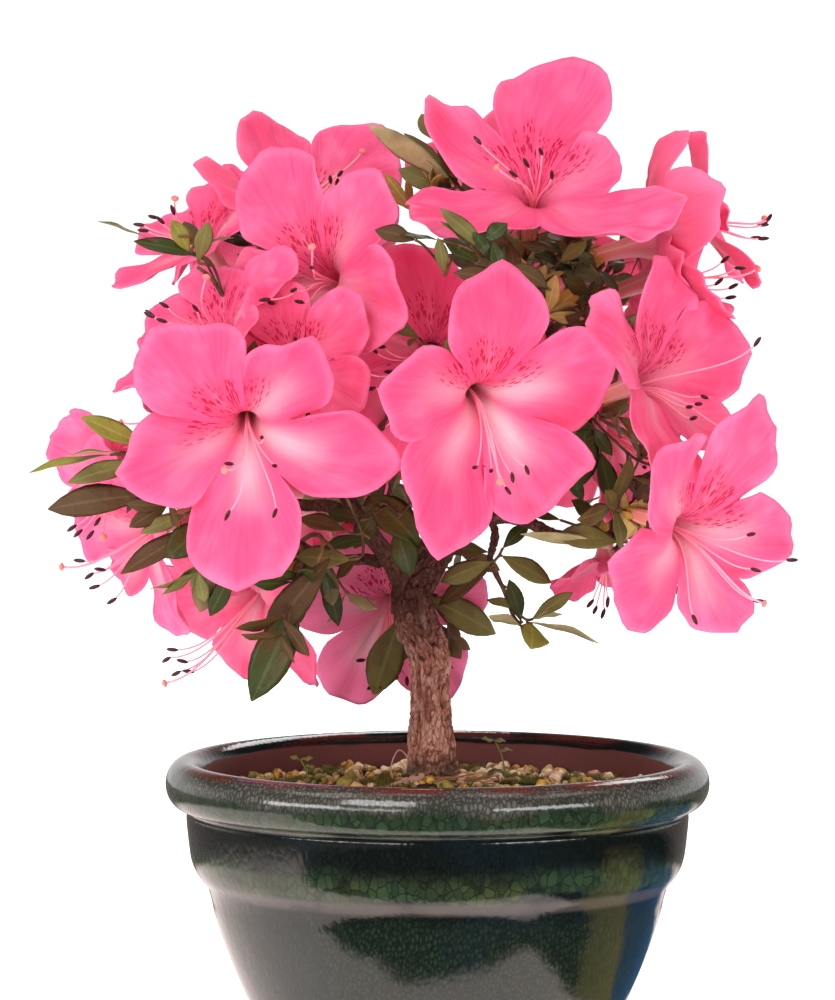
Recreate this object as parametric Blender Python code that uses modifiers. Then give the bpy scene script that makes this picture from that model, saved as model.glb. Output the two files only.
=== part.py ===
"""Azalea bonsai in full bloom, planted in a round dark-glazed pot.

Units are metres, +Z is up, and the photograph looks along +Y. The origin is the
centre of the pot's flat underside. Places and sizes below are written in millimetres
and turned into metres by MM.
"""
import math
import random

import bmesh
import bpy
from mathutils import Matrix, Vector
from mathutils.bvhtree import BVHTree

MM = 0.001
CLEAR = 0.3  # gap kept between neighbouring solids

# Pot: a rolled rim over a straight collar and a round bowl
RIM_CENTRE = (70.5, 81.2)
RIM_HALF_SIZE = (5.5, 6.8)
RIM_INNER_ANGLE = 140.0
RIM_STEPS = 5
COLLAR = ((70.0, 73.0), (70.2, 70.4), (68.8, 59.3), (67.4, 56.2), (63.9, 51.8))
BOWL_TOP = (63.1, 48.2)
BOWL_FOOT = 4.0
BOWL_DRAW_IN = 0.157
BOWL_CURVE = 1.25
BOWL_STEPS = 3
FOOT_RADIUS = 43.0
INNER_WALL = ((65.6, 83.0), (63.5, 60.0), (57.5, 48.0), (49.0, 20.0), (38.0, 9.0))
POT_FLOOR = 8.0
POT_SEGMENTS = 36

# Soil fills the pot and is mounded round the foot of the trunk
SOIL_TOP = ((11.0, 82.6), (26.0, 81.0), (64.6, 78.6))
MOUND_HEIGHT = 82.6
SOIL_WALL_GAP = 0.6
GRAINS = 52  # the gravel's main grains, fused to the soil
GRAIN_REACH = (16.5, 60.5)
GRAIN_HALF_WIDTH = (2.1, 3.3)
GRAIN_SQUASH = (0.72, 0.62)  # second width and height, as shares of the first width
GRAIN_SUNK = 0.3
GOLDEN_TURN = 137.5  # degrees from one grain, or one leaf of a whorl, to the next

# Trunk: x, y, z and radius up the stem, from the flat cut on the soil to its tip
TRUNK = (
    (-1.5, 0.0, 83.0, 8.2), (-1.5, 0.0, 85.5, 6.9), (-1.8, 0.0, 97.8, 6.0), (-2.1, 0.0, 109.2, 5.3),
    (-2.6, 0.0, 117.8, 5.6), (-6.0, 0.5, 126.2, 5.9), (-7.0, 1.0, 134.5, 5.6), (-3.5, 1.0, 141.0, 4.9),
    (0.1, 1.0, 147.3, 4.7), (4.2, 2.0, 156.0, 4.2), (5.0, 3.0, 169.0, 3.6), (6.0, 4.0, 184.0, 2.9),
    (10.0, 3.0, 203.0, 1.9))
TRUNK_SIDES = 4  # bevel resolution, which gives a ring of twelve points
ROOT_FLARE = 0.22
ROOT_FLARE_HEIGHT = 3.5

# Boughs: what each grows from, its radius at foot and tip, and the points it passes
BOUGHS = {
    "bough_front_left": ("trunk", 2.7, 1.5,
                         ((-8, 0, 136), (-17, -3, 149), (-23, -9, 158), (-30, -20, 172), (-33, -27, 180))),
    "bough_low_left": ("bough_front_left", 1.8, 1.3,
                       ((-21, -6, 155), (-30, -6, 159), (-38, -5, 159.5), (-47, -3, 161))),
    "bough_hanging_left": ("bough_front_left", 1.5, 1.1,
                           ((-13, -1, 143), (-22, 3, 143.5), (-31, 4, 142.5), (-36, 2, 144))),
    "bough_low_back": ("trunk", 1.8, 1.3,
                       ((-4, 2, 141), (-4, 14, 144), (-5, 27, 144.5), (-6, 33, 143.5))),
    "bough_low_right": ("trunk", 2.1, 1.3,
                        ((3, 1, 153), (13, -2, 155.5), (23, -5, 155.5), (33, -11, 151.5), (44, -15, 150.5))),
    "bough_spray": ("trunk", 1.3, 0.9,
                    ((5, 3, 160), (12, 7, 158), (16, 6, 151.5), (15, 4, 145))),
    "bough_right": ("trunk", 2.0, 1.3,
                    ((5, 2, 165), (11, -4, 170), (17, -10, 174), (22, -15, 176))),
    "bough_centre": ("trunk", 1.9, 1.3,
                     ((5, 3, 173), (4, -7, 180), (3, -15, 186))),
    "bough_upper_left": ("trunk", 2.1, 1.3,
                         ((5, 3, 177), (-6, 2, 186), (-18, 0, 194), (-25, -2, 199))),
    "bough_upper_right": ("trunk", 1.8, 1.3,
                          ((7, 4, 187), (16, 8, 197), (27, 9, 204), (33, 10, 208))),
    "bough_back_left": ("trunk", 1.8, 1.3,
                        ((5, 3, 168), (-6, 14, 176), (-17, 23, 183), (-22, 27, 187))),
    "bough_back": ("trunk", 1.7, 1.3,
                   ((3, 2, 154), (-1, 15, 162), (-5, 28, 167), (-7, 33, 169))),
    "bough_back_right": ("trunk", 1.8, 1.3,
                         ((6, 3, 180), (14, 15, 186), (24, 24, 190), (28, 29, 192))),
}

# Masses: the limb whose tip each continues, and the stem's own end
MASSES = {
    "blossom_top": ("trunk", (17, 1, 213)),
    "blossom_upper_left": ("bough_upper_left", (-34, 2, 207)),
    "blossom_front_left": ("bough_front_left", (-35, -34, 190)),
    "blossom_centre": ("bough_centre", (2, -20, 193)),
    "blossom_upper_right": ("bough_upper_right", (39, 12, 213)),
    "blossom_right": ("bough_right", (27, -20, 179)),
    "blossom_low_right": ("bough_low_right", (49, -18, 154)),
    "leaves_spray": ("bough_spray", (16.5, 3, 139)),
    "blossom_low_left": ("bough_low_left", (-53, -3, 165)),
    "blossom_hanging_left": ("bough_hanging_left", (-40, 1, 148)),
    "blossom_low_back": ("bough_low_back", (-8, 39, 142)),
    "blossom_back_left": ("bough_back_left", (-28, 31, 193)),
    "blossom_back": ("bough_back", (-10, 39, 172)),
    "blossom_back_right": ("bough_back_right", (34, 35, 196)),
}

# Blooms: mass, throat, azimuth and elevation it faces, lean of its top lobe, size.
# Azimuth 0 faces the photograph, 90 faces +X.
BLOOMS = {
    "top_left": ("blossom_top", (26.5, -25, 244), 8, 44, 86, 40),
    "top_back": ("blossom_top", (20, 36, 238), 170, 45, 90, 32),
    "upper_left_high": ("blossom_upper_left", (-40, 8, 238), 20, 52, 95, 32),
    "upper_left_far": ("blossom_upper_left", (-63, -3, 229), -58, 50, 108, 28),
    "upper_left": ("blossom_front_left", (-28.5, -45, 224), -36, 17, 126, 36),
    "left": ("blossom_front_left", (-57, -50, 207), -56, 45, 115, 33),
    "left_small": ("blossom_front_left", (-37.5, -64, 201.5), -13, 22, 110, 26),
    "front_left": ("blossom_front_left", (-51.5, -84, 189), 0, -20, 126, 38.5),
    "front_centre": ("blossom_centre", (10, -80, 196), 21, -14, 91, 38.5),
    "centre_shaded": ("blossom_centre", (-2, -25, 203.5), -5, -4, 86, 35),
    "top_right": ("blossom_upper_right", (54, -15, 232), 97, 14, 95, 36),
    "upper_right": ("blossom_upper_right", (57, -7.5, 221.5), 84, 20, 82, 31.5),
    "upper_right_far": ("blossom_upper_right", (70, 22, 236), 95, 20, 80, 27),
    "right": ("blossom_right", (54, -47, 196), 56, 19, 78, 36),
    "right_small": ("blossom_right", (46, -14, 181), 57, -5, 87, 26),
    "low_right": ("blossom_low_right", (64, -62, 158.5), 45, -9, 58, 38),
    "low_right_hanging": ("blossom_low_right", (47, 6, 146), 20, -72, 91, 21),
    "low_left_high": ("blossom_low_left", (-86, -12, 169), -47, -20, 75, 26),
    "low_left": ("blossom_low_left", (-77, -22, 155), -60, -18, 95, 32),
    "hanging_left": ("blossom_hanging_left", (-49, -9, 136), -45, -35, 105, 32),
    "low_back_centre": ("blossom_low_back", (-13.5, 34, 129), -7, -26, 94, 33),
    "back_left": ("blossom_back_left", (-38, 52, 214), 205, 25, 95, 34),
    "back_left_side": ("blossom_back_left", (-60, 30, 186), 235, 5, 85, 31),
    "back_centre": ("blossom_back", (-4, 66, 186), 180, 0, 95, 35),
    "back_low": ("blossom_back", (-34, 54, 156), 200, -25, 85, 31),
    "back_upper_right": ("blossom_back_right", (30, 60, 214), 160, 20, 85, 33),
    "back_right_side": ("blossom_back_right", (57, 34, 198), 118, 10, 95, 30),
    "back_right_low": ("blossom_back_right", (44, 56, 176), 150, -10, 90, 27),
}
# Turn, length and lift of the five lobes, from the top lobe round, where a bloom differs
LOBES = {
    "top_left": ((-9, -3, -21, 21, 15), (1.05, 1.0, 1.15, 1.2, 0.8), (-15, -30, -15, -30, -45)),
    "centre_shaded": ((7, 10, 0, 0, 0), (0.98, 0.88, 1.07, 1.0, 1.0), (6, -5, 0, 0, 0)),
    "top_right": ((0, 0, 0, 0, 0), (1.0, 1.0, 1.0, 1.0, 1.0), (-52, -52, -52, -52, -52)),
    "upper_left": ((2, -5, 0, 0, 4), (1.12, 0.95, 1.0, 1.0, 0.98), (0, 0, 0, 0, 0)),
    "upper_left_high": ((0, 0, 0, 0, 8), (1.0, 1.0, 1.0, 1.0, 1.15), (0, 0, 0, 0, 0)),
    "left": ((11, -6, -5, 0, 0), (0.92, 1.0, 1.04, 1.0, 1.0), (8, 0, -8, 0, 0)),
    "front_left": ((-5, 0, -1, 8, -2), (1.06, 0.97, 1.12, 1.06, 0.95), (7, 0, -3, 5, -6)),
    "front_centre": ((6, 2, 6, -2, -5), (1.04, 0.97, 1.08, 1.03, 1.03), (6, -6, 0, 0, 0)),
    "upper_right": ((8, 0, 0, 0, 0), (0.87, 0.95, 1.0, 1.0, 1.0), (-14, -30, -20, -20, -20)),
    "upper_right_far": ((0, 0, 0, 0, 0), (1.0, 1.0, 1.0, 1.0, 1.0), (-15, -15, -15, -15, -15)),
    "right": ((-14, -4, 15, 14, 1), (1.04, 1.02, 1.07, 0.87, 1.09), (-10, 4, -10, -6, -8)),
    "low_right": ((-1, -14, -4, 8, 6), (1.08, 1.03, 1.03, 0.92, 0.98), (0, -10, 10, -4, 2)),
    "low_right_hanging": ((0, 0, 0, 0, 0), (1.0, 1.0, 1.0, 1.0, 1.0), (-35, -35, -35, -35, -35)),
    "low_left": ((0, 3, -29, -4, 0), (1.0, 1.0, 0.85, 1.05, 1.0), (0, 0, 8, 0, 0)),
}
# Corolla, as shares of the petal's run from its foot to a lobe's tip
PETAL_RUN = 1.45  # the run itself, in bloom sizes
THROAT_AT = 0.36
NOTCH_AT = 0.66
FLARE_SPAN = (0.26, 0.70)
LIP_SPAN = (0.6, 1.0)
TUBE_SLOPE = 9.0
FLARE_SLOPE = 72.0
LIP_SLOPE = 8.0
FOOT_SPAN = (0.0, 0.12)
FOOT_WIDTH = 1.6
RUN_STEPS = 16
LOBES_ROUND = 5
LOBE_TURN = 360 / LOBES_ROUND
LOBE_FULLNESS = 2.3
LOBE_ROUNDNESS = 0.62
LOBE_COLUMNS = (-1.0, -0.7, 0.0, 0.7)
LOBE_COLUMNS_PLAIN = (-1.0, -0.5, 0.5)
FINE_FROM = 33.0  # size from which a bloom in LOBES has the finer columns
LOBE_ROWS = (0.0, 0.36, 0.70, 1.0)
PETAL_THICKNESS = 0.8

# The stamens and style of an outer bloom are one slim spindle from its foot out through its throat
STAMEN_BLOOMS = ("top_left", "front_left", "front_centre", "upper_right", "right", "low_right", "low_left",
                 "back_left", "back_left_side", "back_centre", "back_upper_right", "back_right_side")
STAMEN_FORM = (0.034, 0.034, 0.86, -0.05)  # as LEAF_FORM
STAMEN_REACH = (0.95, 0.26)  # past the throat and below it, in bloom sizes
STAMEN_START = 0.6

# Leafy shoots: mass, tip, the way the shoot points, leaves, leaf length, spread in degrees
SHOOTS = (
    ("blossom_front_left", (-65.5, -46, 228), (-0.6, -0.5, 0.4), 5, 18, 65),
    ("blossom_top", (3.5, -10, 247), (-0.7, -0.2, 0.6), 6, 24, 55),
    ("blossom_top", (15.5, -41, 228), (-0.6, -0.6, 0.2), 5, 18, 60),
    ("blossom_top", (24, 22, 231), (0.2, 0.5, 0.5), 4, 20, 60),
    ("blossom_upper_right", (41.5, -32, 213), (0.3, -0.6, -0.3), 5, 14, 55),
    ("blossom_low_left", (-83, -56, 172.5), (-1.0, -0.1, 0.1), 7, 32, 30),
    ("blossom_low_left", (-61, -57, 157), (-0.7, -0.5, -0.5), 6, 21, 55),
    ("blossom_hanging_left", (-33, -44, 147), (-0.4, -0.1, -0.9), 3, 28, 16),
    ("blossom_hanging_left", (-41.5, -43, 130), (-0.3, 0.0, -0.95), 2, 25, 10),
    ("blossom_hanging_left", (-30, -16, 143), (0.1, -0.2, -1.0), 2, 17, 20),
    ("blossom_low_back", (-9.5, 13, 125), (-0.4, -0.1, -0.9), 1, 22, 8),
    ("blossom_low_back", (0, 16, 132), (0.9, -0.1, -0.3), 3, 20, 22),
    ("blossom_centre", (-11, -22, 166), (0.0, -0.3, -1.0), 4, 21, 28),
    ("blossom_right", (43, -40, 186), (-0.2, -0.4, -0.9), 2, 20, 14),
    ("blossom_right", (44, -30, 186), (0.9, -0.3, 0.1), 2, 17, 30),
    ("blossom_low_right", (50, -22, 150), (-1.0, -0.1, 0.05), 4, 25, 20),
    ("blossom_low_right", (51, -19, 148), (0.15, 0.0, -1.0), 2, 19, 10),
    ("blossom_low_right", (56, -24, 169), (1.0, -0.1, -0.1), 4, 18, 28),
    ("leaves_spray", (15.5, 2, 142), (-0.8, -0.3, -0.6), 3, 17, 25),
    ("leaves_spray", (19, 1, 136), (0.5, -0.6, 0.1), 5, 15, 70),
    ("leaves_spray", (23.5, -2, 126.5), (0.3, -0.6, 0.5), 6, 18, 80),
    ("blossom_back_left", (-50, 46, 200), (-0.5, 0.7, 0.1), 4, 22, 65),
    ("blossom_back_left", (-30, 60, 232), (-0.2, 0.6, 0.6), 4, 20, 65),
    ("blossom_back", (-18, 62, 168), (-0.2, 0.9, -0.2), 4, 22, 65),
    ("blossom_back", (-14, 50, 150), (0.2, 0.6, -0.7), 4, 22, 65),
    ("blossom_back_right", (46, 58, 198), (0.5, 0.8, 0.1), 4, 22, 65),
    ("blossom_back_right", (22, 66, 196), (-0.1, 0.9, 0.0), 4, 20, 65),
)
LEAF_FORM = (0.42, 0.04, 0.55, 0.10)  # width, thickness, widest place and droop, as shares of the length
LEAF_SUNK = 0.7
LEAF_TRIES = 6
LEAF_TURN_AGAIN = 40
WHORL_SHARE = 0.7  # of the shoot's last stretch
TWIG_RADIUS = 0.9
STALK_RADIUS = 0.9
SHOOT_RADIUS = 0.55
SHORT_TWIG = 22.0
TWIG_SWEEP = 0.35  # of its span, along the direction at either end
STEM_PULL = 0.4  # how much a twig prefers to start near the mass's stem

COLOURS = {
    "pot": ((0.012, 0.022, 0.022), 0.12),
    "soil": ((0.42, 0.29, 0.16), 0.9),
    "bark": ((0.16, 0.085, 0.055), 0.8),
    "blossom": ((0.95, 0.16, 0.36), 0.5),
    "leaves": ((0.09, 0.12, 0.03), 0.45),
}


def facing(azimuth, elevation):
    """Unit vector that a bloom looks along."""
    turn = math.radians(azimuth)
    rise = math.radians(elevation)
    return Vector((math.sin(turn) * math.cos(rise), -math.cos(turn) * math.cos(rise), math.sin(rise)))


def smooth_step(low, high, value):
    share = min(max((value - low) / (high - low), 0.0), 1.0)
    return share * share * (3 - 2 * share)


def curve_through(points, steps):
    """Catmull-Rom curve through points of any dimension, with steps between each two."""
    padded = [points[0], *points, points[-1]]
    result = []
    for index in range(1, len(padded) - 2):
        before, start, end, after = padded[index - 1:index + 3]
        for step in range(steps):
            t = step / steps
            weights = ((2 * t * t - t - t ** 3) / 2, (2 - 5 * t * t + 3 * t ** 3) / 2,
                       (t + 4 * t * t - 3 * t ** 3) / 2, (t ** 3 - t * t) / 2)
            near = zip(before, start, end, after)
            result.append(tuple(sum(w * value for w, value in zip(weights, values)) for values in near))
    result.append(tuple(points[-1]))
    return result


def new_collection(name, hidden=False):
    collection = bpy.data.collections.new(name)
    bpy.context.scene.collection.children.link(collection)
    collection.hide_render = hidden
    return collection


def new_material(name):
    colour, roughness = COLOURS[name]
    material = bpy.data.materials.new(name)
    material.use_nodes = True
    shader = material.node_tree.nodes["Principled BSDF"]
    shader.inputs["Base Color"].default_value = (*colour, 1)
    shader.inputs["Roughness"].default_value = roughness
    shader.inputs["Metallic"].default_value = 0.0
    return material


def add_object(name, mesh, collection, material):
    item = bpy.data.objects.new(name, mesh)
    collection.objects.link(item)
    mesh.materials.clear()
    mesh.materials.append(material)
    return item


def mesh_from(bm, name):
    mesh = bpy.data.meshes.new(name)
    bm.to_mesh(mesh)
    bm.free()
    return mesh


def applied(item):
    """The item's mesh with its modifiers applied."""
    graph = bpy.context.evaluated_depsgraph_get()
    mesh = bpy.data.meshes.new_from_object(item.evaluated_get(graph))
    mesh.transform(item.matrix_world)
    return mesh


def discard(item):
    bpy.data.objects.remove(item, do_unlink=True)


def turned(name, profile, segments, collection, material):
    """A profile of radius and height, turned round the Z axis by a Screw modifier."""
    mesh = bpy.data.meshes.new(name)
    points = [(radius * MM, 0, height * MM) for radius, height in profile]
    edges = [(index, index + 1) for index in range(len(points) - 1)]
    mesh.from_pydata(points, edges, [])
    item = add_object(name, mesh, collection, material)
    screw = item.modifiers.new("turn", "SCREW")
    screw.steps = segments
    screw.render_steps = segments
    screw.use_merge_vertices = True
    screw.merge_threshold = 0.00001
    screw.use_smooth_shade = True
    return item


def tube_mesh(name, points, radii, resolution, collection):
    """A tapering tube as a mesh, from a bevelled curve with filled caps."""
    curve = bpy.data.curves.new(name, "CURVE")
    curve.dimensions = "3D"
    curve.bevel_depth = MM
    curve.bevel_resolution = resolution
    curve.use_fill_caps = True
    spline = curve.splines.new("POLY")
    spline.points.add(len(points) - 1)
    for slot, place, radius in zip(spline.points, points, radii):
        slot.co = (place[0] * MM, place[1] * MM, place[2] * MM, 1)
        slot.radius = radius
    guide = bpy.data.objects.new(name, curve)
    collection.objects.link(guide)
    mesh = applied(guide)
    discard(guide)
    bm = bmesh.new()
    bm.from_mesh(mesh)
    bmesh.ops.remove_doubles(bm, verts=bm.verts, dist=0.00001)
    bmesh.ops.recalc_face_normals(bm, faces=bm.faces)
    bpy.data.meshes.remove(mesh)
    return mesh_from(bm, name)


def make_pot(collection, material):
    rim = []
    for step in range(RIM_STEPS + 1):
        angle = math.radians(RIM_INNER_ANGLE - (RIM_INNER_ANGLE + 90) * step / RIM_STEPS)
        rim.append((RIM_CENTRE[0] + RIM_HALF_SIZE[0] * math.cos(angle),
                    RIM_CENTRE[1] + RIM_HALF_SIZE[1] * math.sin(angle)))
    bowl = []
    for step in range(BOWL_STEPS + 1):
        drop = (BOWL_TOP[1] - BOWL_FOOT) * step / BOWL_STEPS
        bowl.append((BOWL_TOP[0] - BOWL_DRAW_IN * drop ** BOWL_CURVE, BOWL_TOP[1] - drop))
    foot = [(FOOT_RADIUS, BOWL_FOOT - 1.0), (FOOT_RADIUS - 0.5, 0.0), (0.0, 0.0)]
    inside = [(0.0, POT_FLOOR), *reversed(INNER_WALL)]
    return turned("pot", inside + rim + list(COLLAR) + bowl + foot, POT_SEGMENTS, collection, material)


def soil_height(radius):
    """Height of the mound at a distance from the pot's axis."""
    slope = [(0.0, MOUND_HEIGHT), *SOIL_TOP]
    for (near, high), (far, low) in zip(slope, slope[1:]):
        if radius <= far:
            return high + (low - high) * (radius - near) / (far - near)
    return slope[-1][1]


def gravel_mesh():
    """Grains of ten faces, spread by the golden angle, each turned and sunk a little its own way."""
    chance = random.Random("gravel")
    inner, outer = GRAIN_REACH
    bm = bmesh.new()
    for index in range(GRAINS):
        radius = math.sqrt(inner ** 2 + (outer ** 2 - inner ** 2) * (index + 0.5) / GRAINS)
        turn = math.radians(GOLDEN_TURN * index + chance.uniform(-4, 4))
        half = chance.uniform(*GRAIN_HALF_WIDTH)
        centre = (radius * math.cos(turn), radius * math.sin(turn), soil_height(radius) - GRAIN_SUNK)
        spin = Matrix.Rotation(chance.uniform(0, math.tau), 4, "Z")
        squash = Matrix.Diagonal((half, half * GRAIN_SQUASH[0], half * GRAIN_SQUASH[1], 1))
        place = Matrix.Scale(MM, 4) @ Matrix.Translation(centre) @ spin @ squash
        bmesh.ops.create_uvsphere(bm, u_segments=5, v_segments=2, radius=1.0, matrix=place)
    return mesh_from(bm, "gravel")


def make_soil(collection, cutters, material):
    """A turned mound with the main grains of the gravel fused to it."""
    wall = [(radius - SOIL_WALL_GAP, height) for radius, height in INNER_WALL[1:-1]]
    floor = [(INNER_WALL[-1][0] - SOIL_WALL_GAP, INNER_WALL[-1][1] + SOIL_WALL_GAP), (0.0, POT_FLOOR + CLEAR)]
    profile = [(0.0, MOUND_HEIGHT), *SOIL_TOP, *wall, *floor]
    soil = turned("soil", profile, POT_SEGMENTS, collection, material)
    gravel = add_object("gravel_grains", gravel_mesh(), cutters, material)
    gravel.hide_render = True
    join = soil.modifiers.new("gravel", "BOOLEAN")
    join.operation = "UNION"
    join.solver = "EXACT"
    join.object = gravel
    return soil


def make_trunk(collection, guides, material):
    """A bent, tapering stem that flares in three ribs at its foot."""
    path = curve_through(TRUNK, 2)
    radii = [point[3] for point in path]
    mesh = tube_mesh("trunk", [point[:3] for point in path], radii, TRUNK_SIDES, guides)
    foot = TRUNK[0]
    for vertex in mesh.vertices:
        height = vertex.co.z / MM - foot[2]
        across = Vector((vertex.co.x - foot[0] * MM, vertex.co.y - foot[1] * MM, 0))
        ribs = 0.5 + 0.5 * math.cos(3 * math.atan2(across.y, across.x) + 0.6)
        vertex.co += across * ROOT_FLARE * ribs * math.exp(-height / ROOT_FLARE_HEIGHT)
    mesh.shade_smooth()
    mesh.set_sharp_from_angle(angle=math.radians(50))
    return add_object("trunk", mesh, collection, material)


def clear_of(item, neighbour, cutters):
    """Cut the item 0.3 mm clear of its neighbour with a swollen copy of it."""
    mesh = applied(neighbour)
    for vertex in mesh.vertices:
        vertex.co += vertex.normal * CLEAR * MM
    cutter = bpy.data.objects.new("round_" + item.name, mesh)
    cutters.objects.link(cutter)
    cutter.hide_render = True
    cutter.display_type = "WIRE"
    cut = item.modifiers.new("clear", "BOOLEAN")
    cut.operation = "DIFFERENCE"
    cut.solver = "EXACT"
    cut.object = cutter


def make_boughs(limbs, collection, guides, cutters, material):
    """Each bough is one tapering limb, its foot cut to the limb that bears it."""
    for name, (bearer, foot_radius, tip_radius, points) in BOUGHS.items():
        path = curve_through(points, 2)
        last = len(path) - 1
        radii = [foot_radius + (tip_radius - foot_radius) * index / last for index in range(last + 1)]
        mesh = tube_mesh(name, path, radii, 1, guides)
        mesh.shade_smooth()
        bough = add_object(name, mesh, collection, material)
        clear_of(bough, limbs[bearer], cutters)
        limbs[name] = bough


def tree_of(mesh):
    bm = bmesh.new()
    bm.from_mesh(mesh)
    tree = BVHTree.FromBMesh(bm)
    bm.free()
    return tree


def bloom_axes(azimuth, elevation, lean):
    """Right, up and outward axes of a bloom; lean turns its top lobe in the photograph's plane."""
    outward = facing(azimuth, elevation)
    tilt = math.radians(lean)
    up = Vector((math.cos(tilt), 0, math.sin(tilt)))
    up = (up - up.dot(outward) * outward).normalized()
    return up.cross(outward), up, outward


def petal_run(share, size, lift):
    """Radius and height on the corolla's funnel, summed along its slope from the foot."""
    radius = FOOT_WIDTH * smooth_step(*FOOT_SPAN, share)
    height = 0.0
    piece = share * size * PETAL_RUN / RUN_STEPS
    for step in range(RUN_STEPS):
        at = share * (step + 0.5) / RUN_STEPS
        slope = TUBE_SLOPE + (FLARE_SLOPE - TUBE_SLOPE) * smooth_step(*FLARE_SPAN, at)
        slope += (LIP_SLOPE + lift) * smooth_step(*LIP_SPAN, at)
        radius += piece * math.sin(math.radians(slope))
        height += piece * math.cos(math.radians(slope))
    return radius, height


def make_corolla(name, material, collection):
    """A funnel of five lobes: a grid bent round the bloom's axis, then thickened."""
    mass, throat, azimuth, elevation, lean, size = BLOOMS[name]
    turns, lengths, lifts = LOBES.get(name, ((0,) * 5, (1,) * 5, (0,) * 5))
    across = LOBE_COLUMNS if name in LOBES and size >= FINE_FROM else LOBE_COLUMNS_PLAIN
    right, up, outward = bloom_axes(azimuth, elevation, lean)
    _, throat_height = petal_run(THROAT_AT, size, 0)
    columns = LOBES_ROUND * len(across)
    rows = len(LOBE_ROWS) - 1
    bm = bmesh.new()
    bmesh.ops.create_grid(bm, x_segments=columns, y_segments=rows, size=0.5)
    for vertex in bm.verts:
        column = round((vertex.co.x + 0.5) * columns) % columns
        row = round((vertex.co.y + 0.5) * rows)
        lobe = column // len(across)
        side = across[column % len(across)]
        if row < 2:
            side = 0.0  # the tube has five sides and starts at a point
        roundness = (1 - abs(side) ** LOBE_FULLNESS) ** LOBE_ROUNDNESS
        share = LOBE_ROWS[row] * (NOTCH_AT + (lengths[lobe] - NOTCH_AT) * roundness)
        radius, height = petal_run(share, size, lifts[lobe])
        turn = LOBE_TURN * (lobe + side / 2) + turns[lobe] * smooth_step(*LIP_SPAN, share)
        angle = math.radians(90 + turn)
        spot = Vector(throat) + radius * (math.cos(angle) * right + math.sin(angle) * up)
        vertex.co = (spot + (height - throat_height) * outward) * MM
    bmesh.ops.remove_doubles(bm, verts=bm.verts, dist=0.00001)
    bmesh.ops.recalc_face_normals(bm, faces=bm.faces)
    shell = add_object("petals_" + name, mesh_from(bm, name), collection, material)
    wall = shell.modifiers.new("wall", "SOLIDIFY")
    wall.thickness = PETAL_THICKNESS * MM
    wall.offset = 0.0
    mesh = applied(shell)
    discard(shell)
    return mesh


def bloom_foot(name):
    """Where the corolla's tube starts, and the way it runs from there."""
    mass, throat, azimuth, elevation, lean, size = BLOOMS[name]
    outward = facing(azimuth, elevation)
    _, throat_height = petal_run(THROAT_AT, size, 0)
    return Vector(throat) - outward * throat_height, outward


def leaf_mesh(root, direction, normal, length, form=LEAF_FORM):
    """A leaf, or spindle, of eight faces: a sphere of two rings, flattened and stretched to its form."""
    width, thickness, widest, droop = form
    bm = bmesh.new()
    bmesh.ops.create_uvsphere(bm, u_segments=4, v_segments=2, radius=1.0)
    side = direction.cross(normal).normalized()
    face = side.cross(direction).normalized()
    for vertex in bm.verts:
        across, through, along = vertex.co
        run = widest + along * (1 - widest if along > 0 else widest)
        lift = through * thickness / 2 - droop * run * run
        offset = across * width / 2 * side + lift * face
        vertex.co = (root + length * (run * direction + offset)) * MM
    bmesh.ops.recalc_face_normals(bm, faces=bm.faces)
    return mesh_from(bm, "leaf")


class Mass:
    """One mass of twigs, blooms and leaves, kept as loose closed meshes until it is joined."""

    def __init__(self, name):
        self.name = name
        self.limb, self.stem_end = MASSES[name]
        self.stem = None
        self.members = []
        self.trees = []
        self.nodes = []  # where later twigs may start: place, direction, radius

    def add(self, mesh):
        self.members.append(mesh)
        self.trees.append(tree_of(mesh))


def limb_tip(name):
    """The last two points of a limb's own path."""
    points = TRUNK if name == "trunk" else BOUGHS[name][3]
    path = curve_through([point[:3] for point in points], 2)
    return Vector(path[-1]), (Vector(path[-1]) - Vector(path[-2])).normalized()


def twig_points(start, direction, end, arrival):
    """A curved twig that leaves along one direction and arrives along another."""
    span = (end - start).length
    sweep = span * TWIG_SWEEP
    controls = (start, start + direction * sweep, end - arrival * sweep, end)
    steps = 2 if span < SHORT_TWIG else 3
    points = []
    for step in range(steps + 1):
        t = step / steps
        weights = ((1 - t) ** 3, 3 * t * (1 - t) ** 2, 3 * t * t * (1 - t), t ** 3)
        points.append(sum((weight * point for weight, point in zip(weights, controls)), Vector()))
    return points


def grow_twig(mass, end, arrival, tip_radius, guides):
    """Grow a twig to its end from the nearest point of the mass's older twigs."""
    def cost(node):
        return (end - node[0]).length + STEM_PULL * (node[0] - mass.nodes[0][0]).length
    start, direction, thickness = min(mass.nodes, key=cost)
    away = (end - start).normalized()
    points = twig_points(start, (direction + away).normalized(), end, arrival)
    first = min(TWIG_RADIUS, thickness)
    last = len(points) - 1
    radii = [first + (tip_radius - first) * index / last for index in range(last + 1)]
    mass.add(tube_mesh("twig", points, radii, 0, guides))
    for index in range(1, last):
        mass.nodes.append((points[index], (points[index + 1] - points[index]).normalized(), radii[index]))
    return points[-2]


def start_mass(mass, guides):
    """The stem starts 0.3 mm past its limb's tip and thins to a twig."""
    tip, direction = limb_tip(mass.limb)
    start = tip + direction * CLEAR
    end = Vector(mass.stem_end)
    foot_radius = TRUNK[-1][3] if mass.limb == "trunk" else BOUGHS[mass.limb][2]
    points = [start, start + direction * 1.5, (start + end) / 2 + direction * 0.8, end]
    radii = [foot_radius * 0.95, foot_radius * 0.9, foot_radius * 0.8, TWIG_RADIUS]
    mass.stem = tube_mesh(mass.name, points, radii, 1, guides)
    mass.trees.append(tree_of(mass.stem))
    for index in range(1, len(points)):
        along = (points[index] - points[index - 1]).normalized()
        mass.nodes.append((points[index], along, radii[index]))


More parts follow.
